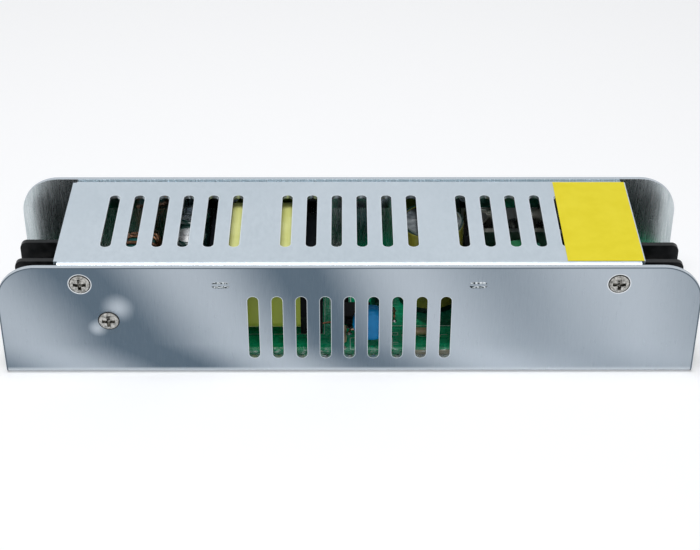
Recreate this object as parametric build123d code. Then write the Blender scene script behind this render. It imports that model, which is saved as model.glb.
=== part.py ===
from build123d import *
import math
import os

# Slim enclosed switching supply in a folded and slotted metal case.
# Millimetres, +Z up. The origin is the middle of the case's underside.
# X runs along the case, with the output terminals at the -X end, and the slotted
# side that carries the two rectifiers is at -Y.

# Case: a folded channel, and a cover with short flanges that fits inside it
case_width = 46.0
channel_sheet = 1.2
cover_sheet = 1.0
bend_radius = 1.8
corner_radius = 11.0
cover_setback = 15.6
flange_height = 9.0
flange_setback = 0.4
relief_width = 0.6

# Ventilation slots
side_slot_count = 9
side_slot_pitch = 6.46
side_slot_width = 3.0
side_slot_length = 20.4
side_slot_start = 5.2
top_slot_pitch = 6.9
top_slot_width = 2.9
top_slot_length = 26.2
top_slot_group = 6
top_slot_groups = 3

# M3 screws: raised countersunk ones in the case, pan heads on board and terminals
screw_radius = 1.45
screw_clearance = 0.05
countersunk_radius = 2.9
countersunk_depth = 1.1
countersunk_rise = 0.6
countersunk_length = 6.0
pan_radius = 2.8
pan_height = 1.9
pan_round_share = 0.5
recess_reach = 1.75
recess_width = 0.95
recess_depth = 1.2
cover_screw_from_end = 22.5
cover_screw_drop = 5.3

# Lanced locating marks in the channel's sides, which hold the cover's flanges
lance_from_middle = 34.2
lance_drop = 5.7
lance_length = 4.8
lance_height = 2.0
lance_depth = 0.5
lance_rib = 0.6
lance_rib_sink = 0.35
lance_clearance = 0.15

# Dimple under a device screw
dimple_radius = 4.3
dimple_depth = 0.5
device_screw_drop = 8.3

# Sticker
sticker_length = 20.3
sticker_width = 40.0
sticker_thickness = 0.12
sticker_inset = 0.3

# Board, its standoffs and the insulating sheet under it
board_thickness = 1.6
board_side_gap = 1.4
board_end_gap = 1.0
standoff_height = 3.2
standoff_radius = 2.75
standoff_shank = 2.0
standoff_edge_gap = 0.9
middle_standoff_inset = 3.0
film_thickness = 0.25
film_rise = 6.5
film_gap = 0.1
film_hole_gap = 0.35
film_bend_radius = 0.8
lead_tail = 1.2
lead_gap = 0.12

# Threaded mounting holes in the floor
mount_spacing = 120.0
mount_bore = 1.25
mount_collar = 2.1
mount_collar_height = 1.3

# Barrier terminals
terminal_end_gap = 0.7
terminal_depth = 13.5
terminal_seat = 7.0
terminal_height = 16.0
terminal_back = 1.6
terminal_back_drop = 1.0
fin_thickness = 1.6
fin_round = 2.0
output_pitch = 9.5
output_poles = 3
output_side_gap = 2.1
inlet_pitch = 8.5
inlet_poles = 3
inlet_side_gap = 3.4
contact_thickness = 0.8
contact_front = 1.6
contact_side_gap = 0.5
contact_leg = 2.6
contact_pin = 1.1
washer_thickness = 0.8
washer_side_gap = 0.3
washer_bore_gap = 0.15
washer_corner = 0.8
terminal_screw_length = 7.0
screw_pocket_gap = 0.35

# Power devices on the side walls: a metal lead frame in a moulded body
device_width = 10.2
device_body_height = 9.2
device_body_depth = 4.5
device_height = 15.7
device_tab = 1.3
device_tab_hole = 1.85
device_tab_hole_drop = 2.8
device_tab_rise = 1.0
device_flange_gap = 0.3
device_chamfer = 0.6
device_lead_pitch = 2.54
device_lead_width = 0.8
device_lead_depth = 0.5
device_lead_step = 1.1
device_lead_rise = 2.0
device_gap_to_dimple = 0.1
pad_thickness = 0.3
pad_margin = 0.6
pad_window_gap = 0.2
clamp_thickness = 2.0
clamp_height = 8.0
clamp_corner = 1.5
clamp_end_gap = 1.0

# Ring parts
ring_round = 0.7
groove_share = 0.3

# Output inductor: a powder ring with thick wire
inductor_outer = 19.0
inductor_inner = 10.0
inductor_height = 7.6
inductor_wire = 1.1
inductor_turns = 17
inductor_arc = 320.0
inductor_from_screw = 6.8
inductor_y = 3.0
inductor_lead_turn = 4.0
inductor_lead_rise = 2.2

# Common-mode choke: a ferrite ring with two windings on a moulded base
choke_outer = 17.6
choke_inner = 9.0
choke_height = 7.0
choke_wire = 1.0
choke_turns = 10
choke_arc = 136.0
choke_y = 2.0
choke_base_height = 1.6
choke_base_margin = 1.0
choke_cradle_height = 1.2
choke_cradle_half = 3.0
choke_rest_gap = 0.02
choke_wire_gap = 0.3

# Electrolytic capacitors
output_cap_radius = 5.0
air_over_output_cap = 4.95
output_cap_lead_pitch = 5.0
output_cap_count = 3
output_cap_pitch = 10.7
output_cap_y = 2.2
bulk_cap_radius = 9.0
air_over_bulk_cap = 2.05
bulk_cap_lead_pitch = 7.5
bulk_cap_y = 5.4
control_cap_radius = 3.15
control_cap_height = 11.0
control_cap_lead_pitch = 2.5
sleeve_thickness = 0.25
sleeve_lip = 0.9
can_round = 0.6
sleeve_round = 0.8
cap_wire = 0.35
lead_sink = 0.1

# Transformer: two ferrite halves in a bobbin, with a taped band round the whole
transformer_lift = 3.6
core_length = 31.4
core_width = 33.4
core_thickness = 12.7
core_yoke = 5.0
core_leg = 5.0
core_post = 9.7
bobbin_wall = 1.0
bobbin_gap = 0.1
winding_height = 20.8
winding_side_gap = 0.3
winding_corner = 3.0
band_thickness = 0.4
band_corner = 2.5
transformer_y = 1.0
bobbin_pin = 0.7
bobbin_pins_per_rail = 5
bobbin_pin_pitch = 5.0
bobbin_pin_grip = 3.0
bobbin_rail_margin = 1.5

# Small parts
disc_radius = 5.2
disc_thickness = 4.0
disc_lift = 2.0
disc_lead_pitch = 7.5
disc_round_share = 0.35
disc_edge_gap = 0.8
thermistor_radius = 4.6
thermistor_thickness = 3.6
chip_length = 9.4
chip_width = 6.4
chip_height = 3.3
chip_lift = 0.5
chip_lead_pitch = 2.54
chip_lead_width = 0.5
chip_lead_thickness = 0.3
chip_lead_spread = 0.6
chip_lead_sink = 0.5
chip_shoulder_width = 1.2
chip_shoulder_height = 1.4
chip_chamfer = 0.4
chip_leads_per_side = 4
coupler_length = 4.7
coupler_leads_per_side = 2
film_cap_length = 7.2
film_cap_depth = 3.6
film_cap_height = 8.0
film_cap_lead_pitch = 5.0
bridge_depth = 4.0
bridge_width = 18.0
bridge_height = 15.0
bridge_lift = 2.0
bridge_y = 1.5
bridge_chamfer = 3.0
bridge_hole = 1.7
bridge_hole_drop = 5.7
bridge_leads = 4
bridge_lead_pitch = 4.4
bridge_lead_along = 0.7
bridge_lead_across = 1.0
line_cap_depth = 8.5
line_cap_width = 18.0
line_cap_height = 15.0
line_cap_lead_pitch = 15.0
box_round = 0.6
fuse_radius = 2.5
fuse_length = 20.0
fuse_cap_length = 5.0
fuse_wall = 0.5
fuse_cap_wall = 0.2
fuse_lift = 0.1
fuse_lead_reach = 0.9
resistor_radius = 1.25
resistor_length = 6.4
resistor_lead_reach = 1.4
resistor_lead_sink = 0.3
resistor_waist = 1.025
resistor_end = 0.875
resistor_end_round = 0.5
resistor_bead = 1.6
wire_lead = 0.6
part_lift = 0.3

# Where the small parts and two of the supports stand, from the middle of their bay in X
# and from the board's middle in Y
chip_place = (-2.0, -6.0)
coupler_place = (-5.8, 3.5)
control_cap_place = (6.0, 2.0)
film_cap_place = (1.0, 8.0)
safety_cap_x = 2.8
control_standoff_x = -7.0
bridge_standoff_x = 0.5
inlet_standoff_x = -1.0
fuse_place = (-1.2, -2.5)
line_cap_y = 0.0
thermistor_x = 3.6
thermistor_edge_gap = 8.9

# Where the resistors stand, from the middle of a part in X and from the board's edge in Y
resistor_edge_gap = 3.0
control_resistor_place = (-5.2, 2.2)
bulk_resistor_place = (-3.0, 3.5)
upright_resistor_place = (7.6, 3.0)
choke_resistor_place = (-1.0, 1.5)
output_resistor_x = -2.0
output_resistor_gap = 1.9

# Room along the board between the groups of parts
device_group_gap = 0.4
capacitor_gap = 0.8
transformer_gap = 0.6
control_bay = 21.3
bridge_gap = 0.8
choke_gap = 1.2
line_cap_gap = 1.1
inlet_bay = 12.7
air_over_transformer = 3.6

# Heights
board_bottom = channel_sheet + standoff_height
board_top = board_bottom + board_thickness
transformer_middle = board_top + transformer_lift + winding_height / 2
cover_inside = transformer_middle + winding_height / 2 + air_over_transformer
case_height = cover_inside + cover_sheet
lead_end = board_bottom - lead_tail
can_seat = board_top + part_lift
bulk_cap_height = cover_inside - air_over_bulk_cap - sleeve_thickness - can_seat
output_cap_height = cover_inside - air_over_output_cap - sleeve_thickness - can_seat
device_top = case_height - flange_height - device_flange_gap
device_low = device_top - device_height
device_screw_height = device_top - device_screw_drop

# Widths
half_width = case_width / 2
inside_half = half_width - channel_sheet
board_half_width = inside_half - board_side_gap

# Places along the case, one group of parts after the other
screw_to_device = dimple_radius + device_gap_to_dimple + device_width / 2
device_group = 2 * screw_to_device + device_width
choke_length = choke_outer + 2 * choke_wire
board_groups = {
    "output terminal": terminal_depth,
    "gap to devices": device_group_gap,
    "devices": device_group,
    "gap to output capacitors": capacitor_gap,
    "output capacitors": 2 * output_cap_radius,
    "gap to transformer": transformer_gap,
    "transformer": core_length,
    "control": control_bay,
    "bulk capacitor": 2 * bulk_cap_radius,
    "gap to bridge": bridge_gap,
    "bridge": bridge_depth,
    "gap to choke": choke_gap,
    "choke": choke_length,
    "gap to line capacitor": line_cap_gap,
    "line capacitor": line_cap_depth,
    "inlet": inlet_bay,
    "inlet terminal": terminal_depth,
}
case_length = 2 * terminal_end_gap + sum(board_groups.values())
half_length = case_length / 2


def group_middle(name):
    """The middle, along X, of one entry of board_groups."""
    lengths = list(board_groups.values())
    number = list(board_groups).index(name)
    start = terminal_end_gap - half_length + sum(lengths[:number])
    return start + lengths[number] / 2


rectifier_screw_x = group_middle("devices")
output_cap_x = group_middle("output capacitors")
transformer_x = group_middle("transformer")
control_x = group_middle("control")
bulk_cap_x = group_middle("bulk capacitor")
bridge_x = group_middle("bridge")
choke_x = group_middle("choke")
line_cap_x = group_middle("line capacitor")
inlet_x = group_middle("inlet")
inductor_x = rectifier_screw_x + inductor_from_screw
transistor_screw_x = choke_x
cover_screw_x = half_length - cover_screw_from_end
cover_half_length = half_length - cover_setback
board_half_length = half_length - board_end_gap

# The board is drilled wherever a lead or a pin comes down to it
drilled = []


def block(x, y, z):
    """A box between two places on each axis, given in either order."""
    size = Box(abs(x[1] - x[0]), abs(y[1] - y[0]), abs(z[1] - z[0]))
    return Pos(sum(x) / 2, sum(y) / 2, sum(z) / 2) * size


def post(x, y, z, radius):
    """An upright cylinder between two heights."""
    return Pos(x, y, sum(z) / 2) * Cylinder(radius, z[1] - z[0])


def turned(outline):
    """A solid turned about Z from a closed outline of (radius, height) points."""
    return revolve(Plane.XZ * make_face(Polyline(outline, close=True)), Axis.Z)


def square_lead(x, y, top, along, across):
    """A stamped lead from a height down through the board."""
    drilled.append((x, y, math.hypot(along, across) / 2 + lead_gap))
    return block((x - along / 2, x + along / 2), (y - across / 2, y + across / 2), (lead_end, top))


def wire_leads(places, top):
    """Round wires from a height down through the board."""
    drilled.extend((x, y, cap_wire + lead_gap) for x, y in places)
    return [post(x, y, (lead_end, top), cap_wire) for x, y in places]


def on_wall(side, x, z):
    """A place on a side wall's outer face, with its own Z pointing out of the case."""
    return Plane(origin=(x, side * half_width, z), x_dir=(1, 0, 0), z_dir=(0, side, 0)).location


def cross_recess(top):
    """The cross-shaped driver recess below a height."""
    arm = Box(2 * recess_reach, recess_width, 2 * recess_depth)
    return Pos(0, 0, top) * (arm + Rot(0, 0, 90) * arm)


def countersunk_screw():
    """A raised countersunk screw whose rim lies at height 0."""
    dome = TangentArc((0, countersunk_rise), (countersunk_radius, 0), tangent=(1, 0))
    rest = Polyline(
        (countersunk_radius, 0),
        (screw_radius, -countersunk_depth),
        (screw_radius, -countersunk_length),
        (0, -countersunk_length),
        (0, countersunk_rise),
    )
    body = revolve(Plane.XZ * make_face(dome + rest), Axis.Z)
    return body - cross_recess(countersunk_rise)


def pan_screw(length):
    """A pan-head screw whose head sits on height 0."""
    head = Pos(0, 0, pan_height / 2) * Cylinder(pan_radius, pan_height)
    head = fillet(head.edges().group_by(Axis.Z)[-1], pan_height * pan_round_share)
    shank = post(0, 0, (-length, pan_height / 2), screw_radius)
    return head + shank - cross_recess(pan_height)


def screw_hole(depth_of_rim):
    """The countersunk hole for a case screw, cut from a rim below the wall's face."""
    wide = countersunk_radius + screw_clearance
    narrow = screw_radius + screw_clearance
    cone = turned([
        (0, 0.01),
        (wide, 0.01),
        (wide, 0),
        (narrow, -countersunk_depth),
        (narrow, -countersunk_length),
        (0, -countersunk_length),
    ])
    return Pos(0, 0, -depth_of_rim) * cone


def case_screw_places():
    """The four cover screws: (side, x, height)."""
    height = case_height - cover_screw_drop
    return [(side, x, height) for side in (-1, 1) for x in (-cover_screw_x, cover_screw_x)]


def device_screw_places():
    """The two screws that draw the device clamps to the walls."""
    return [(-1, rectifier_screw_x, device_screw_height), (1, transistor_screw_x, device_screw_height)]


def lance_places():
    """The four lanced marks that locate the cover."""
    height = case_height - lance_drop
    return [(side, x, height) for side in (-1, 1) for x in (-lance_from_middle, lance_from_middle)]


def slot_prism(length, width, depth):
    """An obround prism that stands on its side, with its long way along Z."""
    return Rot(90, 0, 0) * extrude(SlotOverall(length, width, rotation=90), depth / 2, both=True)


# Folded channel: floor and both sides are one sheet
def make_channel():
    outer = block((-half_length, half_length), (-half_width, half_width), (0, case_height))
    inner = block(
        (-half_length - 1, half_length + 1),
        (-inside_half, inside_half),
        (channel_sheet, case_height + 1),
    )
    outer = fillet(outer.edges().filter_by(Axis.X).group_by(Axis.Z)[0], bend_radius)
    inner = fillet(inner.edges().filter_by(Axis.X).group_by(Axis.Z)[0], bend_radius - channel_sheet)
    channel = outer - inner
    channel = fillet(channel.edges().filter_by(Axis.Y).group_by(Axis.Z)[-1], corner_radius)
    for number in range(side_slot_count):
        x = (number - (side_slot_count - 1) / 2) * side_slot_pitch
        slot = slot_prism(side_slot_length, side_slot_width, 4 * channel_sheet)
        channel -= Pos(x, -half_width, side_slot_start + side_slot_length / 2) * slot
    for side, x, z in device_screw_places():
        swell = turned([
            (0, -channel_sheet),
            (dimple_radius, -channel_sheet),
            (countersunk_radius + channel_sheet, -channel_sheet - dimple_depth),
            (0, -channel_sheet - dimple_depth),
        ])
        hollow = turned([
            (0, 0),
            (dimple_radius, 0),
            (countersunk_radius + screw_clearance, -dimple_depth),
            (0, -dimple_depth),
        ])
        channel += on_wall(side, x, z) * swell
        channel -= on_wall(side, x, z) * hollow
        channel -= on_wall(side, x, z) * screw_hole(dimple_depth)
    for side, x, z in case_screw_places():
        channel -= on_wall(side, x, z) * screw_hole(0)
    for side, x, z in lance_places():
        outline = SlotOverall(lance_length, lance_height)
        rib = Box(lance_length, lance_rib, lance_depth)
        swell = Pos(0, 0, -channel_sheet - lance_depth) * extrude(outline, lance_depth)
        hollow = Pos(0, 0, -lance_depth) * extrude(outline, lance_depth)
        channel += on_wall(side, x, z) * swell
        channel -= on_wall(side, x, z) * (hollow - Pos(0, 0, -lance_rib_sink) * rib)
    for x, y in standoff_places():
        channel -= post(x, y, (-1, channel_sheet + 1), standoff_shank + screw_clearance)
    for x in (-mount_spacing / 2, mount_spacing / 2):
        channel += post(x, 0, (channel_sheet, channel_sheet + mount_collar_height), mount_collar)
        channel -= post(x, 0, (-1, channel_sheet + mount_collar_height + 1), mount_bore)
    return channel


# Slotted cover: top and both short flanges are one sheet
def make_cover():
    outer = block(
        (-cover_half_length, cover_half_length),
        (-inside_half, inside_half),
        (case_height - flange_height, case_height),
    )
    inner = block(
        (-cover_half_length - 1, cover_half_length + 1),
        (-inside_half + cover_sheet, inside_half - cover_sheet),
        (case_height - flange_height - 1, case_height - cover_sheet),
    )
    outer = fillet(outer.edges().filter_by(Axis.X).group_by(Axis.Z)[-1], bend_radius)
    inner = fillet(inner.edges().filter_by(Axis.X).group_by(Axis.Z)[-1], bend_radius - cover_sheet)
    cover = outer - inner
    flange_end = cover_half_length - flange_setback
    bend_start = inside_half - bend_radius
    for end in (-1, 1):
        for side in (-1, 1):
            past = (end * flange_end, end * (cover_half_length + 1))
            relief = (end * (flange_end - relief_width), end * (cover_half_length + 1))
            strip = (side * bend_start, side * (inside_half + 1))
            cover -= block(past, strip, (case_height - flange_height - 1, case_height - bend_radius))
            cover -= block(relief, strip, (case_height - bend_radius - relief_width, case_height + 1))
    for x in top_slot_places():
        outline = SlotOverall(top_slot_length, top_slot_width, rotation=90)
        cover -= Pos(x, 0, case_height) * extrude(outline, cover_sheet * 2, both=True)
    for side, x, z in case_screw_places():
        cover -= on_wall(side, x, z) * screw_hole(0)
    for side, x, z in lance_places():
        outline = offset(SlotOverall(lance_length, lance_height), lance_clearance)
        hole = Pos(0, 0, -channel_sheet - 2 * cover_sheet) * extrude(outline, 2 * cover_sheet)
        cover -= on_wall(side, x, z) * hole
    return cover


def top_slot_places():
    """Slots in groups, with one place left solid between two groups."""
    per_row = top_slot_groups * top_slot_group + top_slot_groups - 1
    places = []
    for number in range(per_row):
        if (number + 1) % (top_slot_group + 1):
            places.append((number - (per_row - 1) / 2) * top_slot_pitch)
    return places


# Plain sticker near the inlet end of the cover
def make_sticker():
    end = cover_half_length - sticker_inset
    return block(
        (end - sticker_length, end),
        (-sticker_width / 2, sticker_width / 2),
        (case_height, case_height + sticker_thickness),
    )


def make_cover_screws():
    return [on_wall(*place) * countersunk_screw() for place in case_screw_places()]


def make_device_screws():
    sunk = Pos(0, 0, -dimple_depth) * countersunk_screw()
    return [on_wall(*place) * sunk for place in device_screw_places()]


def standoff_places():
    """Board supports: near the ends at the far edge, and two along the middle."""
    far = board_half_width - standoff_radius - standoff_edge_gap
    return [
        (rectifier_screw_x - inductor_from_screw, far),
        (control_x + control_standoff_x, far - middle_standoff_inset),
        (bridge_x + bridge_standoff_x, -far),
        (inlet_x + inlet_standoff_x, far),
    ]


def make_standoffs():
    solids = []
    for x, y in standoff_places():
        barrel = post(x, y, (channel_sheet, board_bottom), standoff_radius)
        shank = post(x, y, (screw_clearance, channel_sheet), standoff_shank)
        bore = post(x, y, (-1, board_bottom + 1), screw_radius + screw_clearance)
        solids.append(barrel + shank - bore)
    return solids


def make_board_screws():
    length = board_thickness + standoff_height
    return [Pos(x, y, board_top) * pan_screw(length) for x, y in standoff_places()]


# Insulating sheet, folded up along both sides of the board
def make_film():
    outer_half = inside_half - film_gap
    outer = block(
        (-board_half_length, board_half_length),
        (-outer_half, outer_half),
        (channel_sheet, channel_sheet + film_rise),
    )
    inner = block(
        (-board_half_length - 1, board_half_length + 1),
        (-outer_half + film_thickness, outer_half - film_thickness),
        (channel_sheet + film_thickness, channel_sheet + film_rise + 1),
    )
    outer = fillet(outer.edges().filter_by(Axis.X).group_by(Axis.Z)[0], film_bend_radius)
    film = outer - inner
    for x, y in standoff_places():
        film -= post(x, y, (0, channel_sheet + 1), standoff_radius + film_hole_gap)
    for x in (-mount_spacing / 2, mount_spacing / 2):
        film -= post(x, 0, (0, channel_sheet + 1), mount_collar + film_hole_gap)
    return film


def make_board():
    board = block(
        (-board_half_length, board_half_length),
        (-board_half_width, board_half_width),
        (board_bottom, board_top),
    )
    holes = [(x, y, radius) for x, y, radius in drilled]
    holes += [(x, y, screw_radius + 2 * screw_clearance) for x, y in standoff_places()]
    cutters = [post(x, y, (board_bottom - 1, board_top + 1), radius) for x, y, radius in holes]
    return board - cutters


# Barrier terminal: moulded block, contacts, clamp washers and captive screws.
# It is made at the -X end and mirrored for the other one.
def make_terminal(pitch, poles, side_gap):
    outer = terminal_end_gap - half_length
    inner = outer + terminal_depth
    seat = board_top + terminal_seat
    top = board_top + terminal_height
    first = side_gap - inside_half
    last = first + poles * pitch + fin_thickness
    body = block((outer, inner), (first, last), (board_top, seat))
    body += block((inner - terminal_back, inner), (first, last), (seat, top - terminal_back_drop))
    for number in range(poles + 1):
        start = first + number * pitch
        fin = block((outer, inner), (start, start + fin_thickness), (board_top, top))
        corner = fin.edges().filter_by(Axis.Y).group_by(Axis.Z)[-1].sort_by(Axis.X)[0]
        body += fillet(corner, fin_round)
    contacts = []
    washers = []
    screws = []
    plate = (outer + contact_front, inner - terminal_back)
    screw_x = (outer + inner - terminal_back) / 2
    for number in range(poles):
        middle = first + number * pitch + (pitch + fin_thickness) / 2
        room = (pitch - fin_thickness) / 2
        contact, pocket = make_contact(plate, middle, room - contact_side_gap, seat, screw_x)
        body -= pocket
        contacts.append(contact)
        on_plate = Pos(screw_x, middle, seat + contact_thickness)
        washers.append(on_plate * clamp_washer(2 * (room - washer_side_gap)))
        screws.append(on_plate * Pos(0, 0, washer_thickness) * pan_screw(terminal_screw_length))
    return body, contacts, washers, screws


def clamp_washer(width):
    """A square clamp washer that lies on height 0."""
    plate = RectangleRounded(width, width, washer_corner) - Circle(screw_radius + washer_bore_gap)
    return extrude(plate, washer_thickness)


def make_contact(plate, middle, half, seat, screw_x):
    """A stamped contact: a plate on the seat and a leg that ends in a pin."""
    top = seat + contact_thickness
    solid = block(plate, (middle - half, middle + half), (seat, top))
    rear = (plate[1] - contact_thickness, plate[1])
    leg = block(rear, (middle - contact_leg / 2, middle + contact_leg / 2), (board_top, seat))
    pin_x = sum(rear) / 2
    pin = block(rear, (middle - contact_pin / 2, middle + contact_pin / 2), (lead_end, board_top))
    reach = math.hypot(contact_thickness, contact_pin) / 2 + lead_gap
    drilled.append((pin_x, middle, reach))
    bore = post(screw_x, middle, (seat - 1, top + 1), screw_radius + screw_clearance)
    screw_end = top + washer_thickness - terminal_screw_length
    pocket = post(screw_x, middle, (screw_end - screw_pocket_gap, seat), screw_radius + screw_pocket_gap)
    return solid + leg + pin - bore, pocket + leg


# Power devices: two on each wall, drawn to it by one clamp and one screw
def make_devices(side, screw_x):
    wall = side * inside_half
    face = wall - side * pad_thickness
    frames = []
    bodies = []
    for x in (screw_x - screw_to_device, screw_x + screw_to_device):
        frame, body = make_device(side, x, face)
        frames.append(frame)
        bodies.append(body)
    group_half = screw_to_device + device_width / 2
    pad_x = (screw_x - group_half - pad_margin, screw_x + group_half + pad_margin)
    pad = block(pad_x, (wall, face), (device_low - pad_margin, device_top))
    pad -= bolt_hole(screw_x, wall, dimple_radius + pad_window_gap)
    clamp_x = (screw_x - group_half + clamp_end_gap, screw_x + group_half - clamp_end_gap)
    clamp_back = face - side * device_body_depth
    clamp_z = (device_screw_height - clamp_height / 2, device_screw_height + clamp_height / 2)
    clamp = block(clamp_x, (clamp_back, clamp_back - side * clamp_thickness), clamp_z)
    clamp = fillet(clamp.edges().filter_by(Axis.Y), clamp_corner)
    clamp -= bolt_hole(screw_x, clamp_back, screw_radius + screw_clearance)
    return frames, bodies, pad, clamp


def bolt_hole(x, y, radius):
    """A hole across the case, at the height of the device screws."""
    depth = 2 * (clamp_thickness + pad_thickness)
    return Pos(x, y, device_screw_height) * Rot(90, 0, 0) * Cylinder(radius, depth)


def make_device(side, x, face):
    """One device: a metal frame, with its tab and three leads, in a moulded body."""
    span = (x - device_width / 2, x + device_width / 2)
    tab_back = face - side * device_tab
    tab_low = device_low + device_tab_rise
    frame = block(span, (face, tab_back), (tab_low, device_top))
    hole = Rot(90, 0, 0) * Cylinder(device_tab_hole, 4 * device_tab)
    frame -= Pos(x, face, device_top - device_tab_hole_drop) * hole
    lead_y = tab_back - side * device_lead_step
    lead_top = device_low + device_lead_rise
    for number in (-1, 0, 1):
        lead_x = x + number * device_lead_pitch
        frame += square_lead(lead_x, lead_y, lead_top, device_lead_width, device_lead_depth)
    foot = (x - device_lead_width / 2, x + device_lead_width / 2)
    foot_end = lead_y - side * device_lead_depth / 2
    frame += block(foot, (tab_back, foot_end), (tab_low, lead_top))
    back = face - side * device_body_depth
    body = block(span, (face, back), (device_low, device_low + device_body_height))
    edges = body.edges().filter_by(Axis.X).filter_by(lambda edge: abs(edge.center().Y - back) < 0.01)
    return frame, chamfer(edges, device_chamfer) - frame


# Ring parts are made about Z, standing on height 0, and then stood on edge
def ring_core(outer, inner, height):
    ring = Cylinder(outer / 2, height) - Cylinder(inner / 2, height * 2)
    return fillet(ring.edges().filter_by(GeomType.CIRCLE), ring_round)


def ring_winding(outer, inner, height, wire, turns, arc):
    """A winding of one layer: a sleeve with a groove between each two turns."""
    skin = Pos((outer + inner) / 4, 0) * Rectangle((outer - inner) / 2 + 2 * wire, height + 2 * wire)
    skin = fillet(skin.vertices(), wire)
    skin -= Pos((outer + inner) / 4, 0) * Rectangle((outer - inner) / 2, height)
    sleeve = revolve(Plane.XZ * skin, Axis.Z, arc)
    deep = outer / 2 + wire / 2
    groove = Pos(outer / 4 + wire, 0) * Box(outer / 2 + 2 * wire, wire * groove_share, height + 3 * wire)
    groove -= Pos(deep / 2, 0) * Box(deep, wire, height + wire)
    for number in range(1, turns):
        sleeve -= Rot(0, 0, arc * number / turns) * groove
    return sleeve


def make_output_inductor():
    stand = can_seat + inductor_outer / 2 + inductor_wire
    place = Pos(inductor_x, inductor_y, stand) * Rot(0, 90, 0)
    core = place * ring_core(inductor_outer, inductor_inner, inductor_height)
    open_turn = (360 - inductor_arc) / 2
    sizes = (inductor_outer, inductor_inner, inductor_height, inductor_wire)
    winding = place * Rot(0, 0, open_turn) * ring_winding(*sizes, inductor_turns, inductor_arc)
    lead_turn = math.radians(open_turn + inductor_lead_turn)
    reach = (inductor_outer + inductor_wire) / 2 * math.sin(lead_turn)
    for y in (inductor_y - reach, inductor_y + reach):
        drilled.append((inductor_x, y, inductor_wire / 2 + lead_gap))
        lead = post(inductor_x, y, (lead_end, board_top + inductor_lead_rise), inductor_wire / 2)
        winding += lead - core
    return core, winding


def make_choke():
    stand = board_top + choke_base_height + choke_outer / 2
    place = Pos(choke_x, choke_y, stand) * Rot(90, 0, 0)
    core = place * ring_core(choke_outer, choke_inner, choke_height)
    sizes = (choke_outer, choke_inner, choke_height, choke_wire)
    windings = []
    for start in (-choke_arc / 2, 180 - choke_arc / 2):
        winding = Rot(0, 0, start) * ring_winding(*sizes, choke_turns, choke_arc)
        windings.append(place * winding)
    half_x = choke_outer / 2 - choke_base_margin
    half_y = choke_height / 2 + choke_wire + choke_base_margin
    base_y = (choke_y - half_y, choke_y + half_y)
    base_z = (board_top, board_top + choke_base_height + choke_cradle_height)
    base = block((choke_x - half_x, choke_x + half_x), base_y, base_z)
    base -= place * Cylinder(choke_outer / 2 + choke_rest_gap, 4 * half_y)
    wire_room = choke_outer / 2 + choke_wire + choke_wire_gap
    sides = place * Cylinder(wire_room, choke_height + 2 * (choke_wire + choke_wire_gap))
    cradle = block((choke_x - choke_cradle_half, choke_x + choke_cradle_half), base_y, (0, stand))
    base -= sides - cradle
    return core, windings, base


# Electrolytic capacitor: aluminium can, printed sleeve and two wires
def make_can(x, y, radius, height, wire_pitch):
    low = can_seat
    can = post(x, y, (low, low + height), radius - sleeve_thickness)
    can = fillet(can.edges().group_by(Axis.Z)[-1], can_round)
    places = [(x, y - wire_pitch / 2), (x, y + wire_pitch / 2)]
    for wire in wire_leads(places, low + lead_sink):
        can += wire
    sleeve = post(x, y, (low, low + height + sleeve_thickness), radius)
    sleeve = fillet(sleeve.edges().group_by(Axis.Z)[-1], sleeve_round)
    sleeve -= post(x, y, (low - 1, low + height + 1), radius - sleeve_thickness - sleeve_lip)
    return can, sleeve - can


def make_output_capacitors():
    cans = []
    sleeves = []
    for number in range(output_cap_count):
        y = output_cap_y + (number - (output_cap_count - 1) / 2) * output_cap_pitch
        sizes = (output_cap_radius, output_cap_height, output_cap_lead_pitch)
        can, sleeve = make_can(output_cap_x, y, *sizes)
        cans.append(can)
        sleeves.append(sleeve)
    return cans, sleeves


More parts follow.
